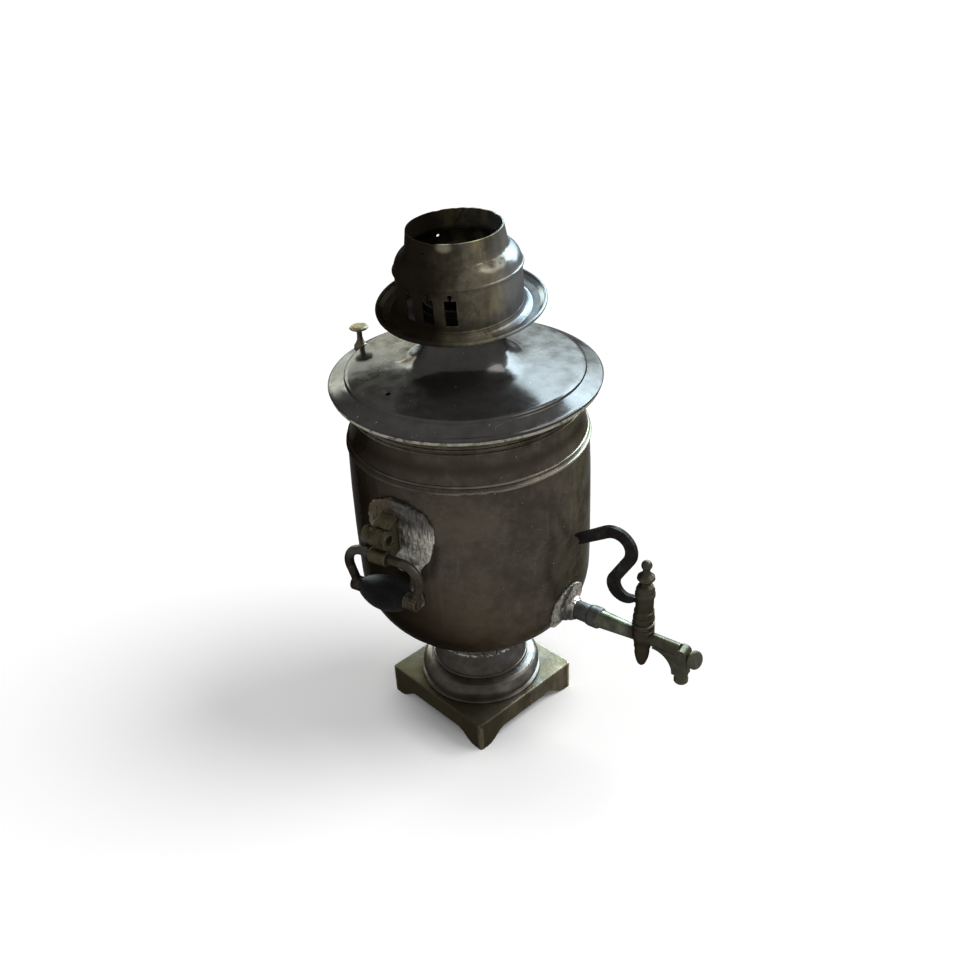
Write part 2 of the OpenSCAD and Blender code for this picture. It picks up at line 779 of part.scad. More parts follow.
// Lever in its own plane: u runs from the plug's axis towards the jacket, v upwards
bend1 = [18.5, lever_bend - 2.2];
bend2 = bend1 + [13, lever_bend + lever_crook + 6.2];
span = bend2 - bend1;
cross_a = atan2(span[1], span[0]) - acos((lever_bend + lever_crook) / norm(span));
root_a = -125;
tail_a = 58;

// One side of the bar, s = 1 on its left and -1 on its right, from the plug to the tail
function lever_side(s) = concat(
    [[lever_slot, s * lever_root / 2]],
    [for (i = [0:15]) let (a = root_a + (cross_a - root_a) * i / 15,
            w = lever_root + (lever_w - lever_root) * i / 15 + lever_belly * sin(12 * i))
        bend1 + (lever_bend - s * w / 2) * [cos(a), sin(a)]],
    [for (i = [0:15]) let (a = cross_a + 180 + (tail_a - cross_a - 180) * i / 15)
        bend2 + (lever_crook + s * lever_w / 2) * [cos(a), sin(a)]],
    [bend2 + (lever_crook + s * lever_w * 0.45) * [cos(tail_a), sin(tail_a)]
        + lever_tail * [sin(tail_a), -cos(tail_a)]]);

module lever_outline() {
    fork = bend2 + lever_crook * [cos(tail_a), sin(tail_a)] + (lever_tail + 1) * [sin(tail_a), -cos(tail_a)];
    difference() {
        polygon(concat(lever_side(1), back(lever_side(-1))));
        translate(fork) circle(lever_w * 0.3, $fn = 24);
    }
}

rivet_r = 1.2;

module at_rivet() {
    translate([0, lever_slot - plug_at + 2.4, lever_z]) rotate([0, 90, 0]) children();
}

module tap_lever() {
    color(iron) difference() {
        translate([-lever_t / 2, -plug_at, lever_z]) rotate([90, 0, 90])
            linear_extrude(lever_t) lever_outline();
        at_rivet() cylinder(r = rivet_r, h = 2 * lever_t, center = true);
    }
}

module lever_rivet() {
    color(dark_brass) at_rivet() cylinder(r = rivet_r, h = lever_t, center = true);
}

nut_r = plug_r2 + 1.4;
nut_h = 22;

module plug_nut() {
    color(dark_brass) translate([0, -plug_at, barrel_z]) rotate_extrude() difference() {
        polygon(turned([[0, 0], [1, 0], [1, -0.32], [0.92, -0.5], [0.8, -0.66], [0.66, -0.8], [0.5, -0.91],
            [0.3, -0.98], [0, -1]], nut_r, nut_h));
        translate([plug_r2 - 0.5, -head_gap]) square([nut_r, 1]);
    }
}

// --- Handles ----------------------------------------------------------------
// Each is drawn on the left, at -X, and mirrored to the right

wall_r = body_r + body_swell;
pivot_x = wall_r + pivot_out;
roll_z = pivot_z + roll_up;
grip_z = pivot_z - bail_drop;
roll_bore = 4.5;
roll_rings = 4;
ring_up = 0.7;
ring_w = 3;
bail_straight = lug_w / 2 + 12.5;
bail_lap = 0.5;
bail_swell = 0.15;
drip_r = 4.5;
eye_r = 6.8;
eye_t = 2 * bail_r + 0.4;
head_t = 1.5;
ferrule_gap = 0.3;
ferrule_t = 3;
eye_y = grip_l / 2 + ferrule_gap + ferrule_t + eye_t / 2 + 0.2;

// Along Y at a handle's pivot or grip
module along_y(z, y = 0) {
    translate([-pivot_x, y, z]) rotate([-90, 0, 0]) children();
}

// Turned by a about the upright line through the handle's pivot
module yawed(a) {
    translate([-pivot_x, 0, 0]) rotate(a) translate([pivot_x, 0, 0]) children();
}

// The left bail with its grip, turned with its lug and slid in its bearing
module hung() {
    yawed(handle_yaw) translate([0, -bail_slide, 0]) children();
}

module oval(w, h) {
    polygon([for (i = [0:47]) let (a = i * 7.5)
        [w * cos(a) * (1 + 0.06 * sin(3 * a)), h * sin(a) * (1 + 0.05 * cos(2 * a))]]);
}

// Solder on the wall round a lug, at a place beside and under it, with a drip run down
module handle_solder(at, w, h, run) {
    color(tin) difference() {
        intersection() {
            translate([0, 0, roll_z]) rotate([90, 0, -90]) linear_extrude(pivot_x) translate(at) {
                oval(w, h);
                translate([0.44 * w - drip_r, -run]) square([2 * drip_r, run]);
                translate([0.44 * w, -run]) circle(drip_r);
            }
            cylinder(r = wall_r + patch_t, h = 2 * pivot_z);
        }
        jacket_solid();
    }
}

// Bracket: a roof over the ringed roll and a web with the bail's bearing under it
module handle_lug(yaw) {
    root = wall_r + patch_t - 6;
    color(brass) difference() {
        yawed(yaw) rotate([90, 0, 0]) linear_extrude(lug_w, center = true) {
            polygon([[-root, roll_z + 14.5], [-pivot_x + 7, roll_z + 8], [-pivot_x + 1, roll_z + 5],
                [-pivot_x + 1, pivot_z + 5], [-pivot_x + 1, pivot_z - 5], [-root, pivot_z - 1]]);
            translate([-pivot_x, pivot_z]) circle(bearing_r);
        }
        cylinder(r = wall_r + patch_t, h = 2 * pivot_z);
        yawed(yaw) along_y(roll_z, -lug_w) cylinder(r = knuckle_r + ring_up, h = 2 * lug_w);
        yawed(yaw) along_y(pivot_z, -lug_w) cylinder(r = bail_r + bail_gap, h = 2 * lug_w);
    }
}

// Ringed roll, hollow, on the bracket's front
module handle_knuckle() {
    half = knuckle_l / 2;
    pitch = (knuckle_l - ring_w) / (roll_rings - 1);
    color(brass) difference() {
        union() {
            along_y(roll_z, -half) cylinder(r = knuckle_r, h = knuckle_l);
            for (k = [0:roll_rings - 1]) along_y(roll_z, -half + k * pitch)
                cylinder(r = knuckle_r + ring_up, h = ring_w);
        }
        along_y(roll_z, -half - 1) cylinder(r = roll_bore, h = knuckle_l + 2);
    }
}

// One arm of the bail in the y-z plane, from the bend to the eye
module bail_arm() {
    c = [bail_straight, -bail_bend];
    eye = [eye_y, -bail_drop];
    to_eye = eye - c;
    a = acos(bail_bend / norm(to_eye)) + atan2(to_eye[1], to_eye[0]);
    leave = c + bail_bend * [cos(a), sin(a)];
    leg = eye - leave;
    leg_l = norm(leg);
    translate([-pivot_x, c[0], pivot_z + c[1]]) rotate([90, 0, 90]) rotate([0, 0, a])
        rotate_extrude(angle = 90 - a) translate([bail_bend, 0]) circle(bail_r + bail_swell, $fn = 32);
    translate([-pivot_x, leave[0], pivot_z + leave[1]]) rotate([atan2(leg[1], leg[0]), 0, 0])
        rotate([-90, 0, 0]) translate([0, 0, -bail_lap])
            cylinder(r = bail_r, h = leg_l - eye_r + 1 + bail_lap);
    along_y(grip_z, eye_y - eye_t / 2) cylinder(r = eye_r, h = eye_t);
}

module handle_bail() {
    color(brass) difference() {
        union() {
            along_y(pivot_z, -bail_straight - bail_lap)
                cylinder(r = bail_r, h = 2 * (bail_straight + bail_lap));
            bail_arm();
            mirror([0, 1, 0]) bail_arm();
        }
        along_y(grip_z, -eye_y * 2) cylinder(r = rod_r, h = eye_y * 4);
    }
}

module grip_rod() {
    end = eye_y + eye_t / 2;
    color(brass) {
        along_y(grip_z, -end) cylinder(r = rod_r, h = 2 * end);
        for (s = [-1, 1]) along_y(grip_z, s > 0 ? end : -end - head_t) cylinder(r = rod_r + 1.3, h = head_t);
    }
}

module grip_ferrules() {
    color(brass) for (s = [0, 1]) mirror([0, s, 0]) along_y(grip_z, grip_l / 2 + ferrule_gap) difference() {
        cylinder(r1 = grip_end_r - 1.5, r2 = eye_r - 0.5, h = ferrule_t + 0.2);
        translate([0, 0, -1]) cylinder(r = rod_r, h = ferrule_t + 2);
    }
}

module grip() {
    half = grip_l / 2;
    color(ebony) along_y(grip_z) rotate_extrude() polygon(concat(
        [[rod_r + grip_gap, -half]],
        [for (i = [0:12]) let (s = i / 6 - 1)
            [grip_end_r + (grip_r - grip_end_r) * (1 - s * s), half * s]],
        [[rod_r + grip_gap, half]]));
}

module right() {
    mirror([1, 0, 0]) children();
}

base_plate();
foot_skirt();
vent_neck();
body_shell();
neck_ring();
fire_tube();
grate();
lid();
lid_knob();
lid_knob_rivet();
crown_base();
crown_brim();
crown_wall();
crown_tube();
tap_solder();
tap_socket();
tap_body();
tap_nozzle();
spout_leaf();
tap_key();
tap_lever();
lever_rivet();
plug_nut();
handle_solder([5, -9], patch_w, patch_h, patch_run);  // handle_solder_left
handle_lug(handle_yaw);  // handle_lug_left
yawed(handle_yaw) handle_knuckle();  // handle_knuckle_left
hung() handle_bail();  // handle_bail_left
hung() grip_rod();  // grip_rod_left
hung() grip_ferrules();  // grip_ferrules_left
hung() grip();  // grip_left
right() handle_solder([0, -5], neat_w, neat_h, neat_h);  // handle_solder_right
right() handle_lug(0);  // handle_lug_right
right() handle_knuckle();  // handle_knuckle_right
right() handle_bail();  // handle_bail_right
right() grip_rod();  // grip_rod_right
right() grip_ferrules();  // grip_ferrules_right
right() grip();  // grip_right
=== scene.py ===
# %% [markdown]
# # An old charcoal samovar
# A jar of spun brass round a fire tube, blackened by use and patched with solder. The sizes and places
# all come from the packed construction model, which is loaded first and never moved. On top of it come
# finishes made of nodes, and new meshes where the real metal is dented, worn or lumpy.

# %% Load the construction model
import json
import math

import bpy
from mathutils import Matrix, Vector


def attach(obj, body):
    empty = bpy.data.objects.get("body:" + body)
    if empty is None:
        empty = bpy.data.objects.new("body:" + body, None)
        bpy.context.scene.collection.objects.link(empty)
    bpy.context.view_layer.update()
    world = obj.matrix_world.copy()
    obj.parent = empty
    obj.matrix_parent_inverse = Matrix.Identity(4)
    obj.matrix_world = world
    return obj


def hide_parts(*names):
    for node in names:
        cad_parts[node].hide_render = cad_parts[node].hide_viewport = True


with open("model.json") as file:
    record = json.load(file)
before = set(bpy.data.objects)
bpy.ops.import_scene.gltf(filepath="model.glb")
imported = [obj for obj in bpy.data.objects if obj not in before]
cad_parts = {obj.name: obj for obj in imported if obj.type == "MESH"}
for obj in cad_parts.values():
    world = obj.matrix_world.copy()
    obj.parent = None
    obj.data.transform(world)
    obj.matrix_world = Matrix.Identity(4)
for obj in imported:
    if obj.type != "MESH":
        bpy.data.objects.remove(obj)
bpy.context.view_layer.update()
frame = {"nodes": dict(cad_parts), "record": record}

# %% [markdown]
# ## The camera
# The samovar is looked down on from its front left, about a metre away. The camera is placed by a turn,
# a tilt and a distance from a point on the jacket's axis, because these can be changed one by one, which
# a place and three angles can't. A small roll tips the picture, as a camera held in the hand does.

# %% Place the camera
LOOK_AT = Vector((0, 0, 0.2025))
TURN = math.radians(-52.1)
TILT = math.radians(34.51)
ROLL = math.radians(-3.16)
DISTANCE = 1.0193
FOCAL_LENGTH = 39.75
SHIFT = (0.0061, 0.0532)

towards = Vector((math.sin(TURN) * math.cos(TILT), -math.cos(TURN) * math.cos(TILT), math.sin(TILT)))
camera_data = bpy.data.cameras.new("camera")
camera_data.lens = FOCAL_LENGTH
camera_data.shift_x, camera_data.shift_y = SHIFT
camera = bpy.data.objects.new("camera", camera_data)
bpy.context.scene.collection.objects.link(camera)
spin = towards.to_track_quat("Z", "Y").to_matrix() @ Matrix.Rotation(ROLL, 3, "Z")
camera.matrix_world = Matrix.LocRotScale(LOOK_AT + DISTANCE * towards, spin.to_quaternion(), None)
bpy.context.scene.camera = camera
bpy.context.scene.view_settings.view_transform = "Standard"
print("camera at", [round(x, 3) for x in camera.location])

# %% [markdown]
# ## Arithmetic with sockets
# A finish is a sum of masks: patina, drips, scratches, specks. Written as Math nodes one by one they are
# hard to read, so a small class wraps a socket and lets Python's own operators add the nodes. Each
# expression such as `0.4 + 0.2 * grain` then reads as the sum that the nodes work out.

# %% A socket that can be added and multiplied
class Value:
    """A number from a socket. Each operator adds one Math node to its finish."""

    def __init__(self, finish, socket):
        self.finish = finish
        self.socket = socket

    def math(self, operation, first, second=0.0):
        node = self.finish.node("ShaderNodeMath", {"operation": operation}, {0: first, 1: second})
        return Value(self.finish, node.outputs[0])

    def __add__(self, other):
        return self.math("ADD", self, other)

    def __radd__(self, other):
        return self.math("ADD", other, self)

    def __sub__(self, other):
        return self.math("SUBTRACT", self, other)

    def __rsub__(self, other):
        return self.math("SUBTRACT", other, self)

    def __mul__(self, other):
        return self.math("MULTIPLY", self, other)

    def __rmul__(self, other):
        return self.math("MULTIPLY", other, self)

    def __abs__(self):
        return self.math("ABSOLUTE", self)

    def __lt__(self, other):
        return self.math("LESS_THAN", self, other)

    def or_else(self, other):
        """The larger of two masks."""
        return self.math("MAXIMUM", self, other)

    def rise(self, low, high):
        """0 below low, 1 above high and a soft step between; low above high turns the step round."""
        settings = {"interpolation_type": "SMOOTHSTEP"}
        ends = {0: self, 1: low, 2: high, 3: 0.0, 4: 1.0}
        node = self.finish.node("ShaderNodeMapRange", settings, ends)
        return Value(self.finish, node.outputs[0])

    def band(self, middle, half):
        """1 at middle, falling to 0 at half away on both sides."""
        return abs(self - middle).rise(half, 0.0)


# %% [markdown]
# ## Nodes
# Every other node comes from one function. Settings go first, because a setting such as a Mix node's
# data type decides which of its sockets are in use. A socket takes a number, a colour or a link.

# %% Add a node to any tree
def set_stops(ramp, stops):
    """Colours along a ramp, each with its place."""
    while len(ramp.elements) < len(stops):
        ramp.elements.new(1.0)
    for element, (at, colour) in zip(ramp.elements, stops):
        element.position = at
        element.color = (*colour, 1.0)


def add_node(tree, kind, settings=None, sockets=None):
    """Adds a node: its settings first, then a value or a link for each socket named."""
    node = tree.nodes.new(kind)
    for key, value in (settings or {}).items():
        if key == "stops":
            set_stops(node.color_ramp, value)
        else:
            setattr(node, key, value)
    for key, value in (sockets or {}).items():
        socket = node.inputs[key]
        if not isinstance(key, int):
            socket = next(s for s in node.inputs if s.name == key and s.enabled)
        if isinstance(value, Value):
            value = value.socket
        if isinstance(value, bpy.types.NodeSocket):
            tree.links.new(value, socket)
        else:
            socket.default_value = value
    return node


# %% [markdown]
# ## Finishes
# A finish is one material: a Principled shader and what feeds it. It reads Object coordinates, in metres,
# so a speck keeps its size on every piece, and the pieces stand at the origin, so a pattern stays put.
# What is the same all over goes straight onto the shader's sockets, and only what changes is linked.

# %% A finish and its shader
class Finish:
    """A procedural material. What is the same all over is set on the shader's own sockets."""

    def __init__(self, name, **constants):
        self.material = bpy.data.materials.new(name)
        self.material.use_nodes = True
        self.tree = self.material.node_tree
        self.tree.nodes.clear()
        named = {key.replace("_", " "): value for key, value in constants.items()}
        self.shader = self.node("ShaderNodeBsdfPrincipled", None, named)
        self.node("ShaderNodeOutputMaterial", None, {"Surface": self.shader.outputs[0]})
        self.place = self.node("ShaderNodeTexCoord").outputs["Object"]
        axes = self.node("ShaderNodeSeparateXYZ", None, {0: self.place})
        self.x, self.y, self.z = (Value(self, axes.outputs[i]) for i in range(3))

    def node(self, kind, settings=None, sockets=None):
        return add_node(self.tree, kind, settings, sockets)

    def vector(self, operation, first, second=(0, 0, 0)):
        """The node of a sum on vectors, which a Math node would cut down to one number."""
        return self.node("ShaderNodeVectorMath", {"operation": operation}, {0: first, 1: second})

    def mix(self, factor, first, second):
        """A colour between first and second."""
        colours = [(*c, 1.0) if isinstance(c, tuple) else c for c in (first, second)]
        sockets = {"Factor": factor, "A": colours[0], "B": colours[1]}
        return self.node("ShaderNodeMix", {"data_type": "RGBA"}, sockets).outputs[2]

    def ramp(self, value, *stops):
        return self.node("ShaderNodeValToRGB", {"stops": stops}, {0: value}).outputs[0]

    def surface(self, colour, roughness, metallic, height, depth):
        """Links what changes over the surface. height makes a bump of depth metres."""
        feeds = {"Base Color": colour, "Roughness": roughness, "Metallic": metallic}
        sockets = {"Strength": 1.0, "Distance": depth, "Height": height}
        feeds["Normal"] = self.node("ShaderNodeBump", None, sockets).outputs[0]
        for name, value in feeds.items():
            if value is not None:
                output = value.socket if isinstance(value, Value) else value
                self.tree.links.new(output, self.shader.inputs[name])
        return self.material


print("a finish can", ", ".join(name for name in vars(Finish) if not name.startswith("_")))

# %% [markdown]
# ## Patterns
# Wear has a few plain patterns: clouds of patina, round specks of lime, hairlines, and edges that hands
# have rubbed. Each is a function that returns a mask from 0 to 1. Noise gives the clouds, and a cell
# texture with a spot in some of its cells gives the specks.

# %% Clouds and specks
def stretched(finish, stretch=(1, 1, 1), turn=(0, 0, 0), shift=(0, 0, 0)):
    """Object coordinates turned, stretched and shifted, so that patterns differ."""
    angles = [math.radians(a) for a in turn]
    sockets = {"Vector": finish.place, "Location": shift, "Rotation": angles, "Scale": stretch}
    return finish.node("ShaderNodeMapping", {"vector_type": "POINT"}, sockets).outputs[0]


def noise(finish, scale, detail=4.0, roughness=0.55, warp=0.0, at=None):
    """Soft clouds about 1 / scale metres across, where the coordinates aren't stretched."""
    sockets = {"Vector": at or finish.place, "Scale": scale, "Detail": detail, "Roughness": roughness,
               "Distortion": warp}
    return Value(finish, finish.node("ShaderNodeTexNoise", None, sockets).outputs[0])


def specks(finish, scale, size, share, at=None):
    """Round spots of about size (a share of their cell) in that share of the cells."""
    sockets = {"Vector": at or finish.place, "Scale": scale}
    cells = finish.node("ShaderNodeTexVoronoi", None, sockets)
    pick = finish.node("ShaderNodeSeparateColor", None, {0: cells.outputs["Color"]})
    chosen = Value(finish, pick.outputs[0]) < share
    spot = Value(finish, cells.outputs["Distance"]).rise(size, size * 0.4)
    return spot * chosen


# %% [markdown]
# A hairline is where a noise crosses its middle value. Stretching that noise makes the lines run one
# way, and a second noise keeps only short pieces of them. An edge is where the normal of a softly rounded
# surface, which the Bevel node works out, differs from the real one.

# %% Hairlines and rubbed edges
def scratches(finish, scale, width, stretch, turn, shift=(0, 0, 0)):
    """Hairlines as wide as width says, which is a share of the noise and not a length."""
    line = noise(finish, scale, 0.0, 0.5, 0.0, stretched(finish, stretch, turn, shift)).band(0.5, width)
    other = stretched(finish, shift=(3.1, 1.7, 0.4))
    return line * noise(finish, scale * 1.7, 1.0, at=other).rise(0.6, 0.68)


def edges(finish, radius):
    """Where the surface turns within radius: sharp edges, rolled rims and corners."""
    soft = finish.node("ShaderNodeBevel", {"samples": 4}, {"Radius": radius}).outputs[0]
    flat = finish.node("ShaderNodeNewGeometry").outputs["Normal"]
    same = finish.vector("DOT_PRODUCT", soft, flat)
    return Value(finish, same.outputs["Value"]).rise(0.98, 0.8)


# %% [markdown]
# ## Old metal
# Old brass is not one colour. Under it lies a mottled patina, drips ran down it, cloths and hands rubbed
# the edges bright, and specks of lime and solder dried on. These could be painted on each piece, but
# layers of noise fit every piece, however it is cut. One function mixes them, and each piece sets the
# amounts. It hands the layers back unlinked, so that a piece can lay its own stains over them.

# %% What a metal finish starts from
EDGE_TINT = (0.35, 0.35, 0.35, 1.0)
SHINE_OF_DIRT = 0.0
SLATE = (0.09, 0.095, 0.1)
LIME = (0.32, 0.31, 0.28)


class Layers:
    """What a finish has mixed so far: a colour and three values."""

    def __init__(self, colour, roughness, metallic, height):
        self.colour = colour
        self.roughness = roughness
        self.metallic = metallic
        self.height = height


def metal_finish(name):
    """Only the metal mirrors: dirt at a shallow angle would otherwise shine white."""
    return Finish(name, Specular_Tint=EDGE_TINT, Specular_IOR_Level=SHINE_OF_DIRT)


# %% [markdown]
# The layers go on in the order in which they came about on the metal: patina and grey blotches first, then
# drips, then what rubbing and scratching laid bare again, then the specks that dried on top, and over all
# a fine grain of dirt. The relief follows the same masks, so a scratch is a groove and a speck a bump.

# %% The layers of aged metal
def dimmed(colour, share):
    return tuple(c * share for c in colour)


def aged_layers(finish, dark, mid, rubbed, dull=0.5, rub=0.5, drip=0.5, speck=0.5, blotch=0.5, pit=0.5,
                metal=0.45, edge=0.0012):
    """Patina from dark to mid, then blotches, drips, worn edges, scratches and specks by their amounts."""
    cloud = noise(finish, 14, 5, 0.6, 0.6)
    mottle = noise(finish, 90, 5, 0.65, 0.2)
    fine = noise(finish, 520, 3, 0.6)
    colour = finish.mix((cloud * 0.6 + mottle * 0.4).rise(0.36, 0.64), dark, mid)
    colour = finish.mix(noise(finish, 26, 4, 0.6, 1.0).rise(0.5, 0.72) * blotch, colour, SLATE)
    run = noise(finish, 1, 4, 0.6, 0.3, stretched(finish, (85, 85, 7))).rise(0.54, 0.7)
    colour = finish.mix(run * drip * cloud.rise(0.4, 0.6), colour, dimmed(mid, 1.6))
    worn = edges(finish, edge) * mottle.rise(0.3, 0.62) * rub
    steep = scratches(finish, 30, 0.0035, (1, 1, 0.08), (20, 35, 10))
    slanted = scratches(finish, 26, 0.003, (1, 0.08, 1), (50, 5, 40), (1, 2, 3))
    scratch = steep.or_else(slanted)
    bright = worn.or_else(scratch * rub * 0.45)
    colour = finish.mix(bright, colour, rubbed)
    spot = specks(finish, 150, 0.12, 0.07).or_else(specks(finish, 420, 0.2, 0.03)) * speck
    colour = finish.mix(spot, colour, LIME)
    colour = finish.mix((fine - 0.5) * 0.3 + 0.15, colour, dimmed(dark, 0.5))
    roughness = dull + 0.16 * (mottle - 0.5) + 0.14 * (cloud - 0.5) + 0.25 * spot - 0.12 * bright
    lumps = 0.5 * mottle + pit * (noise(finish, 60, 3, 0.5) - 0.5) + 0.12 * fine
    height = lumps - 0.15 * scratch + 0.3 * spot
    return Layers(colour, roughness, metal - 0.5 * spot, height)


# %% [markdown]
# ## Plain metals
# The small parts need no more than those layers: the tinned socket, the lever, the handles' brass and
# rods, the sooty fire tube and the iron grate. A table gives each its colours and amounts, and one loop
# makes them all.

# %% Metals with no stains of their own
PLAIN_METALS = {
    "socket_tin": dict(dark=(0.05, 0.05, 0.045), mid=(0.12, 0.12, 0.108), rubbed=(0.3, 0.3, 0.27),
                       dull=0.42),
    "lever_dark": dict(dark=(0.013, 0.012, 0.011), mid=(0.028, 0.026, 0.024), rubbed=(0.12, 0.11, 0.1),
                       rub=0.6, edge=0.0008, speck=0.1),
    "handle_brass": dict(dark=(0.022, 0.019, 0.012), mid=(0.085, 0.074, 0.044), rubbed=(0.5, 0.46, 0.28),
                         dull=0.42, rub=0.8, edge=0.0008, speck=0.2),
    "bail_dark": dict(dark=(0.018, 0.015, 0.011), mid=(0.05, 0.041, 0.029), rubbed=(0.34, 0.3, 0.22),
                      dull=0.34, rub=0.6, edge=0.0008, speck=0.2),
    "flue_brass": dict(dark=(0.012, 0.01, 0.008), mid=(0.035, 0.03, 0.024), rubbed=(0.12, 0.1, 0.07),
                       dull=0.6),
    "grate_iron": dict(dark=(0.012, 0.011, 0.011), mid=(0.035, 0.03, 0.028), rubbed=(0.1, 0.09, 0.08),
                       dull=0.7, pit=1.0),
}


def plain_metal(name, amounts):
    finish = metal_finish(name)
    made = aged_layers(finish, **amounts)
    return finish.surface(made.colour, made.roughness, made.metallic, made.height, depth=0.0003)


FINISHES = {name: plain_metal(name, amounts) for name, amounts in PLAIN_METALS.items()}
print("plain metals", list(FINISHES))

# %% [markdown]
# ## The shaded side
# Painted shade darkens the side turned away from the sun, the back left. A side worked out from where a
# point lies round the jacket's axis fits every piece at once, and noise makes its edge ragged.

# %% Which side gets the painted shade
SHADED_SIDE = (-0.61, 0.79)
# The colour of the painted shade.
SHADE_BLACK = (0.012, 0.009, 0.006)


def towards_shade(finish, radius):
    """1 where a piece of that radius faces the shaded side, and -1 on the lit side."""
    return (finish.x * SHADED_SIDE[0] + finish.y * SHADED_SIDE[1]) * (1 / radius)


def shade_on_left(finish, reach):
    """Painted shade: none at the middle, and full at reach metres out to the left."""
    return (finish.x * -1 + 0.25 * finish.y + 0.03 * noise(finish, 30, 4)).rise(0.0, reach)


# Prints the direction of the side that gets the painted shade.
print("the smoke came from", round(math.degrees(math.atan2(SHADED_SIDE[1], SHADED_SIDE[0]))), "degrees")

# %% [markdown]
# ## The jacket's brass
# Painted shade blackens the jacket from the left handle round to the back, the side turned from the sun,
# and more so low down. It is also browner low down and towards that side, and verdigris greens the lit
# side. Painted shade darkens the hollow of the shoulder, and a painted highlight runs along the crests of
# the two ridges. Each mark is a mask of height or side, laid over the layers in turn.

# %% Stain the jacket and paint its shade and highlights
JACKET_RADIUS = 0.11
RIDGE_CRESTS = (0.3144, 0.3196)
HOLLOW_HEIGHT = 0.3330
LOWER_BROWN = (0.05, 0.034, 0.02)
VERDIGRIS = (0.085, 0.085, 0.055)
HOLLOW_SHADE = (0.03, 0.025, 0.018)
CREST_HIGHLIGHT = (0.26, 0.24, 0.2)
CHIPPED_BRASS = (0.2, 0.185, 0.15)


def jacket_brass():
    """Painted shade at the back left, greenish at the front right, with painted highlights on the ridges
    and small chips.
    """
    finish = metal_finish("jacket_brass")
    made = aged_layers(finish, dark=(0.045, 0.039, 0.031), mid=(0.092, 0.079, 0.061),
                       rubbed=(0.2, 0.18, 0.15), dull=0.26, speck=1.0, blotch=0.15)
    side = towards_shade(finish, JACKET_RADIUS)
    ragged_edge = 0.35 * (noise(finish, 18, 4, 0.6, 0.5) - 0.5)
    low = finish.z.rise(0.26, 0.12)
    # Painted shade: dark on the side turned from the sun, and low down.
    painted_shade = (side + ragged_edge + 0.45 * low).rise(0.15, 0.95)
    # Browner and darker low down, and towards the shaded side.
    brown = (side + ragged_edge).rise(-0.9, 0.4) * (finish.z + 0.1 * ragged_edge).rise(0.27, 0.13).or_else(0.15)
    green = (side + 2 * ragged_edge).rise(-0.45, -1.0) * noise(finish, 30, 4, 0.6, 0.8).rise(0.42, 0.6)
    uneven = noise(finish, 30, 3).rise(0.2, 0.6)
    # Painted highlight along the crests of the two ridges.
    crest_highlights = sum(finish.z.band(height, 0.0022) for height in RIDGE_CRESTS) * uneven
    slanted = stretched(finish, (1, 1, 0.6), (0, 25, 0), (2, 1, 0))
    chips = specks(finish, 60, 0.1, 0.05, slanted) * (1 - painted_shade)
    colour = finish.mix(brown * 0.8, made.colour, LOWER_BROWN)
    colour = finish.mix(green * 0.5, colour, VERDIGRIS)
    # Painted shade in the hollow of the shoulder.
    colour = finish.mix(finish.z.band(HOLLOW_HEIGHT, 0.009) * 0.7, colour, HOLLOW_SHADE)
    colour = finish.mix(crest_highlights * 0.5, colour, CREST_HIGHLIGHT)
    colour = finish.mix(chips * 0.55, colour, CHIPPED_BRASS)
    colour = finish.mix(painted_shade * 0.92, colour, SHADE_BLACK)
    return finish.surface(colour, made.roughness + 0.12 * painted_shade, made.metallic, made.height, depth=0.00022)


FINISHES["jacket_brass"] = jacket_brass()
print("jacket_brass", len(FINISHES["jacket_brass"].node_tree.nodes), "nodes")

# %% [markdown]
# ## The lid's brass
# The lid was wiped more often than anything else, so it is dark but smooth and mirrors the room. Its
# colour is nearly even, and low roughness with hardly any relief keeps the mirror images whole.

# %% Wipe the lid
def lid_brass():
    """Dark and almost even, smooth enough to mirror a window."""
    finish = metal_finish("lid_brass")
    made = aged_layers(finish, dark=(0.042, 0.04, 0.038), mid=(0.062, 0.059, 0.056),
                       rubbed=(0.2, 0.19, 0.17), dull=0.16, drip=0.0, speck=0.6, blotch=0.05, pit=0.2,
                       metal=0.55)
    return finish.surface(made.colour, made.roughness, made.metallic, made.height, depth=0.00003)


FINISHES["lid_brass"] = lid_brass()
print("lid_brass", len(FINISHES["lid_brass"].node_tree.nodes), "nodes")

# %% [markdown]
# ## The crown's brass
# Hot smoke leaves through the crown. Painted shade blackens it on the side turned from the sun, and a cool
# slate grey is painted on the lit side so that the window it mirrors reads bluish. Brown stains and yellow
# smears lie between. On the mouth is one bright scar, where the brass chipped clean. The painted shade
# lowers the metallic value too: left metallic, the black side would still mirror.

# %% Stain the crown and paint its shade
CROWN_RADIUS = 0.055
SCAR = (-0.0405, -0.0165, 0.4975)
SCAR_REACH = 0.0085
YELLOW_SMEAR = (0.2, 0.165, 0.09)
BROWN_STAIN = (0.04, 0.034, 0.022)
LIT_SIDE_SLATE = (0.135, 0.145, 0.155)
CLEAN_BRASS = (0.3, 0.27, 0.19)


def near(finish, point, reach, squeeze=(1, 1, 1)):
    """1 at point, falling to 0 at reach metres from it; squeeze above 1 narrows it along an axis."""
    offset = finish.vector("SUBTRACT", finish.place, point).outputs[0]
    length = finish.vector("LENGTH", finish.vector("MULTIPLY", offset, squeeze).outputs[0])
    return Value(finish, length.outputs["Value"]).rise(reach, reach * 0.3)


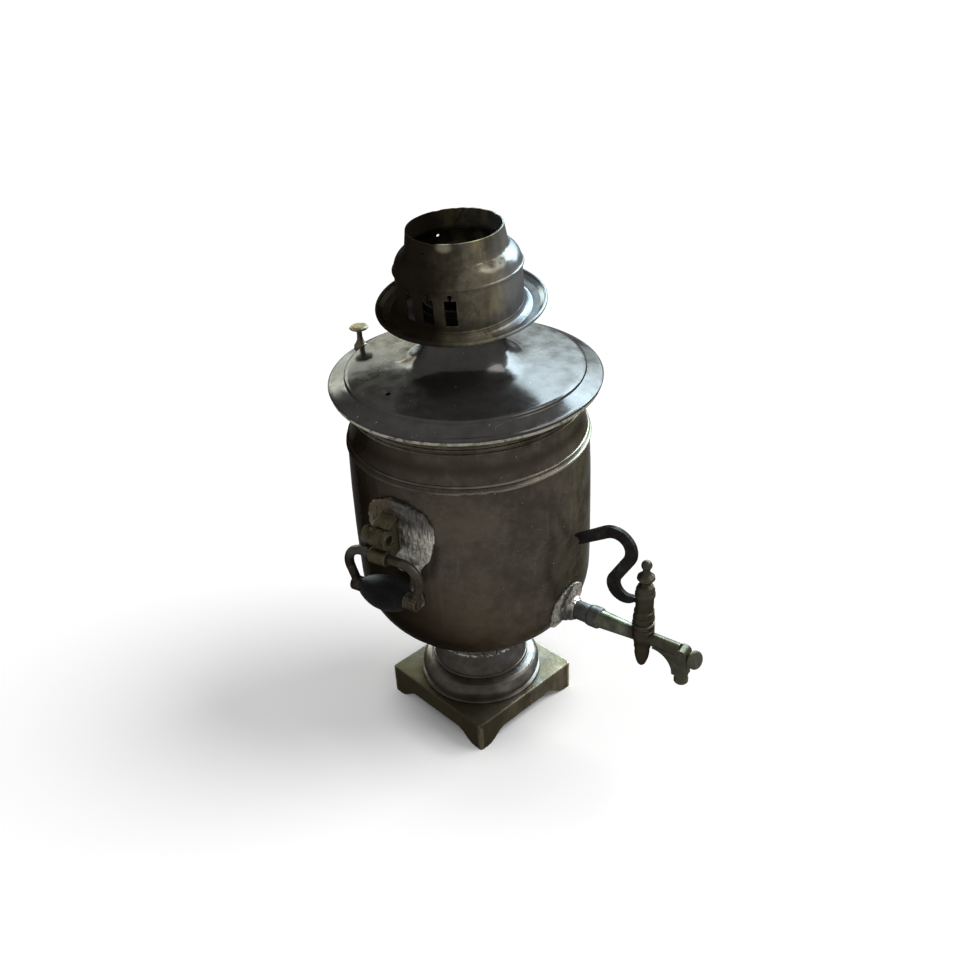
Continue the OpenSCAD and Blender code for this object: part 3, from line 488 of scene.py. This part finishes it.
def crown_brass():
    """Smears, stains, the slate grey painted on the lit side, painted shade and the scar, in that order.
    """
    finish = metal_finish("crown_brass")
    made = aged_layers(finish, dark=(0.04, 0.035, 0.024), mid=(0.15, 0.134, 0.096),
                       rubbed=(0.3, 0.28, 0.22), dull=0.25, rub=0.8, speck=0.4, blotch=0.3, metal=0.3)
    smear = noise(finish, 1, 4, 0.6, 0.6, stretched(finish, (60, 60, 14))).rise(0.5, 0.7)
    upright = stretched(finish, (1, 1, 0.7), shift=(3, 1, 0))
    stains = noise(finish, 55, 4, 0.6, 0.7, upright).rise(0.54, 0.66)
    ragged_edge = 0.5 * (noise(finish, 45, 4, 0.6, 0.5) - 0.5)
    side = towards_shade(finish, CROWN_RADIUS) + ragged_edge
    # Painted shade on the side turned from the sun; below, it also lowers the metallic value.
    painted_shade = side.rise(-0.3, 0.5) * 0.97
    colour = finish.mix(smear * 0.7, made.colour, YELLOW_SMEAR)
    colour = finish.mix(stains * 0.6, colour, BROWN_STAIN)
    # Painted: a cool slate grey on the lit side, so that the mirrored window reads bluish there.
    colour = finish.mix(side.rise(-0.35, -0.85) * 0.75, colour, LIT_SIDE_SLATE)
    colour = finish.mix(painted_shade, colour, SHADE_BLACK)
    colour = finish.mix(near(finish, SCAR, SCAR_REACH, (1, 1, 1.6)) * 0.6, colour, CLEAN_BRASS)
    metallic = made.metallic * (1 - 0.7 * painted_shade)
    return finish.surface(colour, made.roughness + 0.15 * painted_shade, metallic, made.height, depth=0.0003)


FINISHES["crown_brass"] = crown_brass()
print("crown_brass", len(FINISHES["crown_brass"].node_tree.nodes), "nodes")

# %% [markdown]
# ## The plate and the seat ring
# Both are rubbed bright where they stick out: the cast plate at its corners, which are also painted bright
# as a highlight along their edges, and the seat ring on its outer lip under the lid. Painted shade darkens
# the plate's left side. A mask of edges misses the plate's rounded corners, so both are found by their
# distance from the axis, and noise breaks the mask up.

# %% Rub the plate's corners and the ring's lip
PLATE_CORNER = 0.0922
PLATE_SHADE_REACH = 0.075
PLATE_SHADE = (0.035, 0.029, 0.017)
CORNER_WEAR_AND_HIGHLIGHT = (0.5, 0.43, 0.28)
RING_LIP = (0.1165, 0.1182)
LIP_METAL = (0.42, 0.41, 0.34)


def from_axis(finish):
    """Distance from the jacket's axis."""
    flat = finish.node("ShaderNodeCombineXYZ", None, {0: finish.x, 1: finish.y})
    return Value(finish, finish.vector("LENGTH", flat.outputs[0]).outputs["Value"])


def cast_brass():
    """The plate: bright at its corners and edges, partly rubbed and partly a painted highlight, with
    painted shade on its left.
    """
    finish = metal_finish("cast_brass")
    made = aged_layers(finish, dark=(0.045, 0.038, 0.025), mid=(0.105, 0.091, 0.062),
                       rubbed=(0.42, 0.37, 0.24), dull=0.45, rub=1.3, edge=0.0016, speck=0.3)
    # Rubbed corners and edges, made brighter as a painted highlight along them.
    corners = from_axis(finish).rise(PLATE_CORNER - 0.0024, PLATE_CORNER - 0.0006)
    worn = edges(finish, 0.003).or_else(corners * noise(finish, 200, 3).rise(0.3, 0.5))
    # Painted shade on the plate's left side.
    left_shade = shade_on_left(finish, PLATE_SHADE_REACH)
    colour = finish.mix(worn * 0.75, made.colour, CORNER_WEAR_AND_HIGHLIGHT)
    colour = finish.mix(left_shade * 0.8, colour, PLATE_SHADE)
    return finish.surface(colour, made.roughness + 0.2 * left_shade, made.metallic, made.height, depth=0.0003)


def ring_brass():
    """The seat ring: its outer lip is rubbed down to pale metal."""
    finish = metal_finish("ring_brass")
    made = aged_layers(finish, dark=(0.05, 0.042, 0.03), mid=(0.12, 0.1, 0.07), rubbed=(0.34, 0.31, 0.24),
                       dull=0.36, rub=1.0)
    lip = from_axis(finish).rise(*RING_LIP) * noise(finish, 160, 3).rise(0.3, 0.55)
    colour = finish.mix(lip * 0.75, made.colour, LIP_METAL)
    return finish.surface(colour, made.roughness, made.metallic, made.height, depth=0.0003)


FINISHES["cast_brass"] = cast_brass()
FINISHES["ring_brass"] = ring_brass()
print("finishes so far", len(FINISHES))

# %% [markdown]
# ## The tinned foot
# The foot and its vents are tinned. Painted glints, pale dots, sit on the tips of the vents, the two
# grooves of the foot are darker, and painted shade darkens the left side. Tips and grooves each lie at one
# height all round, so a band of height finds them and no mask has to be drawn.

# %% Paint glints on the vent tips and shade on the foot
VENT_TIPS = 0.0830
FOOT_GROOVES = ((0.0585, 0.0025), (0.037, 0.002))
FOOT_SHADE_REACH = 0.07
FOOT_SHADE = (0.045, 0.036, 0.028)
GROOVE_DARK = (0.05, 0.042, 0.034)
BURR_GLINT = (0.7, 0.67, 0.6)


def tinned_brass():
    """The foot and the vented neck."""
    finish = metal_finish("tinned_brass")
    made = aged_layers(finish, dark=(0.055, 0.049, 0.042), mid=(0.165, 0.152, 0.135),
                       rubbed=(0.3, 0.28, 0.25), dull=0.32, rub=0.7, speck=0.6)
    # Painted glints: pale dots at the tips of the vents.
    burr_glints = finish.z.band(VENT_TIPS, 0.0022) * noise(finish, 330, 2).rise(0.5, 0.56)
    # The two grooves of the foot are darker.
    upper, lower = (finish.z.band(height, half) for height, half in FOOT_GROOVES)
    colour = finish.mix(burr_glints * 0.9, made.colour, BURR_GLINT)
    # Painted shade on the foot's left side.
    colour = finish.mix(shade_on_left(finish, FOOT_SHADE_REACH) * 0.6, colour, FOOT_SHADE)
    colour = finish.mix(upper.or_else(lower) * 0.6, colour, GROOVE_DARK)
    return finish.surface(colour, made.roughness, made.metallic, made.height, depth=0.0003)


FINISHES["tinned_brass"] = tinned_brass()
print("tinned_brass", len(FINISHES["tinned_brass"].node_tree.nodes), "nodes")

# %% [markdown]
# ## The tap's brass
# The tap is green-grey where it is never touched, and brown round the plug that fingers turn and on the
# elbow in front of it. The brown follows a tall narrow cloud round the plug's axis, which `near` makes
# with one squeeze.

# %% Brown the tap
PLUG_AXIS = (0, -0.185, 0.16)
FINGER_REACH = 0.021
FINGER_BROWN = (0.026, 0.02, 0.013)
FINGER_BLACK = (0.009, 0.007, 0.005)
TAP_EDGE = (0.3, 0.26, 0.18)


def tap_brass():
    """Green-grey near the jacket, browned by fingers further out."""
    finish = metal_finish("tap_brass")
    made = aged_layers(finish, dark=(0.06, 0.063, 0.046), mid=(0.18, 0.19, 0.14),
                       rubbed=(0.32, 0.29, 0.2), dull=0.33, rub=0.9, edge=0.0008, speck=0.4)
    handled = near(finish, PLUG_AXIS, FINGER_REACH, (1, 1, 0.12))
    brown = finish.mix((made.roughness - 0.3) * 3, FINGER_BROWN, FINGER_BLACK)
    outer = finish.y.rise(-0.19, -0.21)
    colour = finish.mix((handled + outer * 0.7) * 0.9, made.colour, brown)
    colour = finish.mix(edges(finish, 0.0006) * 0.35, colour, TAP_EDGE)
    return finish.surface(colour, made.roughness, made.metallic, made.height, depth=0.00025)


FINISHES["tap_brass"] = tap_brass()
print("tap_brass", len(FINISHES["tap_brass"].node_tree.nodes), "nodes")

# %% [markdown]
# ## Solder
# The patches under the handles and round the tap are soft solder, combed with a hot iron: pale ridges
# with dirt between them. Where it cooled first it went dull, in random spots, and painted shade darkens
# the top of the handle patches and the left patch's far end and bottom. One stretched noise gives the
# combing to both the colour and the relief, so the dirt lies where the grooves are.

# %% Comb the solder
COMBING = (300, 520, 75)
GROOVE_DIRT_IN_SOLDER = (0.07, 0.056, 0.04)
DULL_AND_SHADED_SOLDER = (0.042, 0.038, 0.034)
SOLDER_SHADE = (0.085, 0.065, 0.042)


def solder():
    """Combed, dull in spots, with painted shade along the top and on the left patch's far end and bottom.
    """
    finish = metal_finish("solder")
    made = aged_layers(finish, dark=(0.26, 0.245, 0.21), mid=(0.55, 0.53, 0.47),
                       rubbed=(0.75, 0.74, 0.66), dull=0.4, blotch=0.3, edge=0.0014, pit=1.0, rub=0.9,
                       speck=0.4)
    comb = noise(finish, 1, 3, 0.55, 0.8, stretched(finish, COMBING, (22, 0, 0)))
    # Dull in random spots, and painted shade along the top of the handle patches.
    dull_spots_and_top_shade = noise(finish, 45, 3, 0.5, 0.4).rise(0.48, 0.62).or_else(finish.z.rise(0.268, 0.284))
    # Painted shade on the left patch's far end and bottom.
    far_end = finish.y.rise(-0.012, 0.006).or_else(finish.z.rise(0.236, 0.222))
    far_end_shade = far_end * finish.x.rise(-0.07, -0.09)
    colour = finish.mix(comb.rise(0.5, 0.38) * 0.7, made.colour, GROOVE_DIRT_IN_SOLDER)
    colour = finish.mix(dull_spots_and_top_shade * 0.88, colour, DULL_AND_SHADED_SOLDER)
    colour = finish.mix(far_end_shade * 0.75, colour, SOLDER_SHADE)
    return finish.surface(colour, made.roughness, made.metallic, made.height + 1.6 * comb, depth=0.0004)


FINISHES["solder"] = solder()
print("solder", len(FINISHES["solder"].node_tree.nodes), "nodes")

# %% [markdown]
# ## Ebonised wood
# The grips are turned wood, stained black. Hands left them matt, with the grain open along their
# length. The grain is a noise stretched along the grip, and the same noise lifts the surface a little.

# %% The grips' finish
EBONY_STOPS = ((0.3, (0.005, 0.005, 0.006)), (0.62, (0.014, 0.014, 0.015)), (0.8, (0.03, 0.031, 0.036)))


def ebonised():
    finish = Finish("ebony", Specular_IOR_Level=0.02)
    grain = noise(finish, 1, 5, 0.6, 0.5, stretched(finish, (420, 40, 420)))
    cloud = noise(finish, 60, 4)
    colour = finish.ramp(grain * 0.6 + cloud * 0.4, *EBONY_STOPS)
    return finish.surface(colour, 0.62 + 0.25 * (cloud - 0.5), None, grain + 0.5 * cloud, depth=0.0003)


FINISHES["ebony"] = ebonised()
print("all finishes", len(FINISHES))

# %% [markdown]
# ## Dress the model
# The construction model says which finish each node has, by the name of its material slot, so the
# finishes are handed out by those names and no node is listed here.

# %% Give every node its finish
slots = {row["node"]: row["material_slot"] for row in frame["record"]["subparts"]}
for name, node in frame["nodes"].items():
    node.data.materials.clear()
    node.data.materials.append(FINISHES[slots[name]])
print("dressed", len(slots))

# %% [markdown]
# ## The workshop
# The construction model is turned and drilled true, while the real metal is dented, lumpy and worn. A
# piece that needs this is a copy of its node, merged and worked over as on a bench, and it then stands
# in for the node. Nothing may move the node itself, so the copy keeps its place in its mesh.

# %% A copy on the bench
MERGE = 0.000004
body_of = {node: body for body, nodes in frame["record"]["behaviour"]["bodies"].items() for node in nodes}


def alone(piece):
    """Selects the piece and nothing else."""
    bpy.ops.object.select_all(action="DESELECT")
    bpy.context.view_layer.objects.active = piece
    piece.select_set(True)


def bench_copy(node):
    """A merged copy of a node, alone in the selection."""
    piece = bpy.data.objects.new("bench_" + node, frame["nodes"][node].data.copy())
    bpy.context.scene.collection.objects.link(piece)
    piece.data.materials.clear()
    alone(piece)
    bpy.ops.mesh.customdata_custom_splitnormals_clear()
    bpy.ops.object.mode_set(mode="EDIT")
    bpy.ops.mesh.select_all(action="SELECT")
    bpy.ops.mesh.remove_doubles(threshold=MERGE)
    bpy.ops.mesh.normals_make_consistent(inside=False)
    bpy.ops.object.mode_set(mode="OBJECT")
    return piece


# %% [markdown]
# ## Modifiers and the hammer
# A modifier does at once what would take hours by hand, and it is applied right away, so that the next
# step works on its result. The hammer is a Displace modifier on a soft cloud texture. An empty gives the
# texture its direction and stretch, and both are thrown away after the blow.

# %% Work a piece over
def work(piece, kind, **settings):
    """Adds one modifier to the piece and applies it."""
    alone(piece)
    modifier = piece.modifiers.new(kind.lower(), kind)
    for key, value in settings.items():
        setattr(modifier, key, value)
    bpy.ops.object.modifier_apply(modifier=modifier.name)


def hammer(piece, size, depth, stretch=(1, 1, 1), turn=(0, 0, 0)):
    """Soft lumps of about size metres, as deep as depth; stretch lengthens them along an axis."""
    clouds = bpy.data.textures.new("lumps", "CLOUDS")
    clouds.noise_scale = size
    clouds.noise_depth = 2
    guide = bpy.data.objects.new("guide", None)
    bpy.context.scene.collection.objects.link(guide)
    guide.scale = stretch
    guide.rotation_euler = [math.radians(a) for a in turn]
    bpy.context.view_layer.update()
    work(piece, "DISPLACE", texture=clouds, texture_coords="OBJECT", texture_coords_object=guide,
         strength=depth, mid_level=0.5)
    bpy.data.objects.remove(guide)
    bpy.data.textures.remove(clouds)


# %% [markdown]
# ## Standing in
# A finished piece is shaded smooth up to an angle, so that true edges stay sharp, and gets its node's
# finish. Two calls then say which body it moves with and which node it replaces.

# %% Let a piece stand in for its node
def stand_in(piece, node, smooth=40):
    """The finished piece takes over the node's place, body and finish."""
    alone(piece)
    bpy.ops.object.shade_smooth_by_angle(angle=math.radians(smooth))
    piece.name = node + "_worn"
    piece.data.materials.append(FINISHES[slots[node]])
    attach(piece, body_of[node])
    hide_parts(node)
    print(piece.name, len(piece.data.polygons), "faces")


# %% [markdown]
# ## Cast and soldered pieces
# Molten metal has no crisp facets. A voxel remesh turns a copy into an even skin of small squares, soft
# noise pushes it about, and a smoothing pass rounds its edges as a file and years of polish did. Noise
# may push the plate's feet below the table, so what went under it is lifted back.

# %% Melt a copy and cast it again
def recast(node, voxel, passes, *lumps):
    """Squares of voxel metres, lumps as hammer takes them, then that many smoothing passes."""
    piece = bench_copy(node)
    work(piece, "REMESH", mode="VOXEL", voxel_size=voxel)
    for lump in lumps:
        hammer(piece, *lump)
    work(piece, "SMOOTH", factor=0.5, iterations=passes)
    for point in piece.data.vertices:
        point.co.z = max(point.co.z, 0)
    stand_in(piece, node, smooth=60)


SLOPING = (12, 0, 0)
recast("base_plate", 0.0009, 1, (0.012, 0.0006))
recast("handle_solder_left", 0.0006, 1, (0.014, 0.0045), (0.004, 0.0028, (1, 1, 4), SLOPING))
recast("handle_solder_right", 0.0006, 1, (0.009, 0.002), (0.0035, 0.0012))
recast("tap_solder", 0.0005, 1, (0.008, 0.0026), (0.003, 0.0015))
for side in ("left", "right"):
    recast("handle_lug_" + side, 0.0004, 2, (0.006, 0.0006))
    recast("handle_knuckle_" + side, 0.00035, 1, (0.005, 0.0003))

# %% [markdown]
# ## Spun sheet, spun again
# The jacket, the lid, its seat and the crown's mouth were spun on a lathe. A plain copy has long thin
# facets, which a dent would tear, and a remesh fine enough for such thin sheet would make a million
# squares. So a copy is cut to one section, its long edges are halved until they are short enough, and
# the section is spun round again with even steps.

# %% Cut a section and spin it
CIRCLE = 2 * math.pi
HALVINGS = 6


def spun_again(node, steps, cut_at, longest, centre=(0, 0, 0), lean=None):
    """The node's section at cut_at degrees from +X, its edges cut to longest, spun round its axis."""
    piece = bench_copy(node)
    lean = lean or Matrix.Identity(3)
    axis = lean @ Vector((0, 0, 1))
    out = lean @ Vector((math.cos(math.radians(cut_at)), math.sin(math.radians(cut_at)), 0))
    centre = Vector(centre)
    bpy.ops.object.mode_set(mode="EDIT")
    bpy.ops.mesh.select_all(action="SELECT")
    bpy.ops.mesh.bisect(plane_co=centre, plane_no=axis.cross(out), clear_inner=True, clear_outer=True)
    bpy.ops.mesh.select_all(action="DESELECT")
    bpy.ops.object.mode_set(mode="OBJECT")
    for vertex in piece.data.vertices:
        vertex.select = (vertex.co - centre).dot(out) < 0
    bpy.ops.object.mode_set(mode="EDIT")
    bpy.ops.mesh.delete(type="VERT")
    for _ in range(HALVINGS):
        bpy.ops.mesh.select_mode(type="EDGE")
        bpy.ops.mesh.select_all(action="DESELECT")
        bpy.ops.object.mode_set(mode="OBJECT")
        points = piece.data.vertices
        for edge in piece.data.edges:
            edge.select = (points[edge.vertices[0]].co - points[edge.vertices[1]].co).length > longest
        bpy.ops.object.mode_set(mode="EDIT")
        bpy.ops.mesh.subdivide(number_cuts=1)
    bpy.ops.mesh.select_mode(type="VERT")
    bpy.ops.mesh.select_all(action="SELECT")
    bpy.ops.mesh.remove_doubles(threshold=MERGE)
    bpy.ops.mesh.spin(steps=steps, angle=CIRCLE, center=centre, axis=axis, use_auto_merge=True)
    bpy.ops.mesh.select_all(action="SELECT")
    bpy.ops.mesh.remove_doubles(threshold=MERGE)
    bpy.ops.mesh.normals_make_consistent(inside=False)
    bpy.ops.object.mode_set(mode="OBJECT")
    return piece


# %% [markdown]
# ## Dents and holes
# A dent is one point pushed in with its neighbours, which proportional editing does as a blow does. A
# hole that the spinning closed is drilled again with a cutter.

# %% Strike and drill
HOLE_SIDES = 24
CUTTER_DEPTH = 0.03


def dent(piece, at, push, reach):
    """Pushes the point nearest to at, and what lies within reach of it."""
    at = Vector(at)
    alone(piece)
    nearest = min(piece.data.vertices, key=lambda vertex: (vertex.co - at).length).index
    bpy.ops.object.mode_set(mode="EDIT")
    bpy.ops.mesh.select_all(action="DESELECT")
    bpy.ops.object.mode_set(mode="OBJECT")
    piece.data.vertices[nearest].select = True
    bpy.ops.object.mode_set(mode="EDIT")
    bpy.ops.transform.translate(value=push, use_proportional_edit=True, proportional_size=reach,
                                proportional_edit_falloff="SMOOTH")
    bpy.ops.object.mode_set(mode="OBJECT")


def around(direction, radius, height):
    """A point at that direction from +X, in degrees, round the jacket's axis."""
    turn = math.radians(direction)
    return Vector((radius * math.cos(turn), radius * math.sin(turn), height))


def blow(piece, direction, radius, height, depth, reach):
    """A dent from outside, straight towards the jacket's axis."""
    dent(piece, around(direction, radius, height), -depth * around(direction, 1, 0), reach)


def drill(piece, at, along, radius):
    """A round hole through one wall of the piece."""
    way = Vector(along).to_track_quat("Z", "Y").to_euler()
    bpy.ops.object.select_all(action="DESELECT")
    bpy.ops.mesh.primitive_cylinder_add(vertices=HOLE_SIDES, radius=radius, depth=CUTTER_DEPTH,
                                        location=at, rotation=way)
    cutter = bpy.context.object
    work(piece, "BOOLEAN", operation="DIFFERENCE", object=cutter, solver="EXACT")
    bpy.data.objects.remove(cutter)


# %% [markdown]
# ## The jacket and its seat ring
# The jacket's wall waves by a few tenths of a millimetre. Three small blows cut into the ridge at its
# front left, where a chain or a neighbour on the shelf struck it, and two wide shallow ones sit on the
# wall below.

# %% The jacket with its knocks
WALL_RADIUS = 0.111
RIDGE_HEIGHT = 0.3125
RIDGE_BLOWS = (-145, -140, -134)
jacket = spun_again("body_shell", steps=220, cut_at=20, longest=0.006)
hammer(jacket, size=0.07, depth=0.0009)
for direction in RIDGE_BLOWS:
    blow(jacket, direction, WALL_RADIUS, RIDGE_HEIGHT, depth=0.0016, reach=0.0045)
blow(jacket, -118, WALL_RADIUS, height=0.24, depth=0.0012, reach=0.03)
blow(jacket, -75, WALL_RADIUS, height=0.27, depth=0.0015, reach=0.022)
stand_in(jacket, "body_shell")

ring = spun_again("neck_ring", steps=200, cut_at=20, longest=0.006)
hammer(ring, size=0.03, depth=0.0005)
stand_in(ring, "neck_ring", smooth=30)

# %% [markdown]
# ## The lid
# The lid is thin and has been leaned on and dropped, so its panel is no longer true and mirror images
# bend in it. Spinning closed its steam hole, which a round cutter drills again.

# %% The lid with its steam hole
STEAM_HOLE = Vector((-0.0813, 0.0188, 0.372))
STEAM_HOLE_RADIUS = 0.0025
lid = spun_again("lid", steps=200, cut_at=20, longest=0.005)
hammer(lid, size=0.07, depth=0.00035)
drill(lid, at=STEAM_HOLE, along=(0, 0, 1), radius=STEAM_HOLE_RADIUS)
stand_in(lid, "lid", smooth=35)

# %% [markdown]
# ## The crown's mouth
# The crown leans on its seat, so its mouth is spun round a leaned axis. The lean turns about the heel,
# the point of the seat's rim that the crown rests on, and the middle of its foot moves along.

# %% The mouth on its leaned axis
SEAT_HEIGHT = 0.428
SEAT_RADIUS = 0.0351
CROWN_LEAN = 3
LEANS_TO = -92
turn = Matrix.Rotation(math.radians(LEANS_TO), 3, "Z")
lean = turn @ Matrix.Rotation(math.radians(CROWN_LEAN), 3, "X") @ turn.inverted()
heel = turn @ Vector((0, -SEAT_RADIUS, 0)) + Vector((0, 0, SEAT_HEIGHT))
crown_foot = heel + lean @ (Vector((0, 0, SEAT_HEIGHT)) - heel)
mouth = spun_again("crown_tube", steps=200, cut_at=20, longest=0.004, centre=crown_foot, lean=lean)
hammer(mouth, size=0.03, depth=0.0007)
print("the crown's foot is at", [round(x, 4) for x in crown_foot])

# %% [markdown]
# ### Bends and pin holes
# The lip is thin, torn and bent, most of all at the back. Two blows have pushed in the shoulder at the
# front, and two pin holes go through the shoulder's wall.

# %% Bend the lip and drill the pin holes
LIP_HEIGHT = 0.5
LIP_RADIUS = 0.04
LIP_BENDS = ((62, 0.0018), (48, 0.0008), (38, 0.0016), (22, 0.0012), (-30, 0.0007), (-170, 0.0008))
PIN_HOLES = ((58, 0.4775), (178, 0.4905))
PIN_HOLE_RADIUS = 0.0014
SHOULDER_RADIUS = 0.048
for direction, down in LIP_BENDS:
    dent(mouth, around(direction, LIP_RADIUS, LIP_HEIGHT), push=(0, 0, -down), reach=0.006)
blow(mouth, -113, radius=0.046, height=0.484, depth=0.0022, reach=0.009)
blow(mouth, -100, radius=0.047, height=0.482, depth=0.0012, reach=0.006)
for direction, height in PIN_HOLES:
    outside = around(direction, SHOULDER_RADIUS, height)
    drill(mouth, at=outside, along=around(direction, 1, 0), radius=PIN_HOLE_RADIUS)
stand_in(mouth, "crown_tube", smooth=35)

# %% [markdown]
# ## The room
# The room is white to the eye and to the metal's reflections, while the light that falls on the samovar
# stays at a plain level. One brightness for both would either grey the background or wash the brass out,
# so the kind of ray decides which of the two it gets.

# %% A room for two kinds of ray
WHITE = (1, 1, 1, 1)
ROOM_LIGHT = 0.45


def seen_directly(tree):
    """1 for rays from the eye, from a mirror or through glass, and 0 for the light in the room."""
    path = add_node(tree, "ShaderNodeLightPath")
    total = path.outputs["Is Camera Ray"]
    for name in ("Is Glossy Ray", "Is Transmission Ray"):
        sockets = {0: total, 1: path.outputs[name]}
        total = add_node(tree, "ShaderNodeMath", {"operation": "MAXIMUM"}, sockets).outputs[0]
    return total


world = bpy.data.worlds.new("room")
bpy.context.scene.world = world
world.use_nodes = True
room = world.node_tree
background = room.nodes["Background"]
background.inputs["Color"].default_value = WHITE
level = add_node(room, "ShaderNodeMapRange", None, {"Value": seen_directly(room), "To Min": ROOM_LIGHT})
room.links.new(level.outputs[0], background.inputs["Strength"])
print("room light", ROOM_LIGHT)

# %% [markdown]
# ## The floor
# A matt floor under that light alone would be grey. It glows a little for the eye and for mirrors, up to
# white, but not close round the foot, where the contact shadow has to stay dark.

# %% A floor that fades to white
FLOOR_SIZE = 30
FLOOR_COLOUR = (0.8, 0.8, 0.8, 1)
FLOOR_GLOW = 0.27
GLOW_STARTS = 0.045
GLOW_IS_FULL = 0.12


def floor_paint():
    """Matt paint and a glow that starts outside the foot."""
    paint = bpy.data.materials.new("floor")
    paint.use_nodes = True
    tree = paint.node_tree
    tree.nodes.clear()
    matte = add_node(tree, "ShaderNodeBsdfDiffuse", None, {"Color": FLOOR_COLOUR})
    place = add_node(tree, "ShaderNodeTexCoord").outputs["Object"]
    away = add_node(tree, "ShaderNodeVectorMath", {"operation": "LENGTH"}, {0: place}).outputs["Value"]
    fade = {"Value": away, "From Min": GLOW_STARTS, "From Max": GLOW_IS_FULL, "To Max": FLOOR_GLOW}
    level = add_node(tree, "ShaderNodeMapRange", {"interpolation_type": "SMOOTHSTEP"}, fade).outputs[0]
    shown = {0: seen_directly(tree), 1: level}
    strength = add_node(tree, "ShaderNodeMath", {"operation": "MULTIPLY"}, shown)
    glow = add_node(tree, "ShaderNodeEmission", None, {"Strength": strength.outputs[0]})
    both = add_node(tree, "ShaderNodeAddShader", None, {0: matte.outputs[0], 1: glow.outputs[0]})
    add_node(tree, "ShaderNodeOutputMaterial", None, {"Surface": both.outputs[0]})
    return paint


bpy.ops.object.select_all(action="DESELECT")
bpy.ops.mesh.primitive_plane_add(size=FLOOR_SIZE)
floor = bpy.context.object
floor.name = "floor"
floor.data.materials.append(floor_paint())
print("floor", FLOOR_SIZE, "metres wide")

# %% [markdown]
# ## The sun
# A soft sun from the viewer's right throws the shadow to the left. A sun is as strong everywhere, so only
# its direction counts, and its wide angle makes the shadow's edge soft.

# %% Sun
SUN_PLACE = (0.40, -0.51, 0.77)
SUN_STRENGTH = 2.2
SUN_WIDTH = 34


def aim(lamp, place, target):
    """Puts a lamp at place, turned to shine at target."""
    lamp.location = place
    lamp.rotation_euler = (Vector(place) - Vector(target)).to_track_quat("Z", "Y").to_euler()
    bpy.context.scene.collection.objects.link(lamp)


sun_data = bpy.data.lights.new("soft_sun", "SUN")
sun_data.energy = SUN_STRENGTH
sun_data.angle = math.radians(SUN_WIDTH)
aim(bpy.data.objects.new("soft_sun", sun_data), SUN_PLACE, (0, 0, 0))
print("sun", SUN_STRENGTH)

# %% [markdown]
# ## Two windows
# Dark brass shows little of the sun: what it shows is what it mirrors. So two windows are hung for the lid
# and the crown's shoulder, a large cool one beyond the right side and a small one behind. Lamps that only
# mirrors see leave the shadows and the floor as they are.

# %% Windows
LID_MIDDLE = Vector((0, 0, 0.38))
WINDOW_DISTANCE = 6.0


def pane_length(degrees):
    """How long a pane is that spans this many degrees as seen from the lid."""
    return 2 * WINDOW_DISTANCE * math.tan(math.radians(degrees / 2))


def window(name, azimuth, elevation, width, height, radiance, colour):
    """A pane that only mirrors show; its place and its spans are in degrees as seen from the lid."""
    pane = bpy.data.lights.new(name, "AREA")
    pane.shape = "RECTANGLE"
    pane.size = pane_length(width)
    pane.size_y = pane_length(height)
    pane.energy = radiance * math.pi * pane.size * pane.size_y
    pane.color = colour
    lamp = bpy.data.objects.new(name, pane)
    lamp.visible_diffuse = False
    lamp.visible_camera = False
    turn, rise = math.radians(azimuth), math.radians(elevation)
    way = Vector((math.cos(turn) * math.cos(rise), math.sin(turn) * math.cos(rise), math.sin(rise)))
    aim(lamp, LID_MIDDLE + WINDOW_DISTANCE * way, LID_MIDDLE)


window("right_window", azimuth=7, elevation=25, width=56, height=40, radiance=46,
       colour=(0.66, 0.86, 1.0))
window("back_window", azimuth=58, elevation=12.5, width=32, height=24, radiance=44,
       colour=(0.88, 1.0, 0.97))
print("lamps", len(bpy.data.lights))

# %% [markdown]
# ## End of the scene
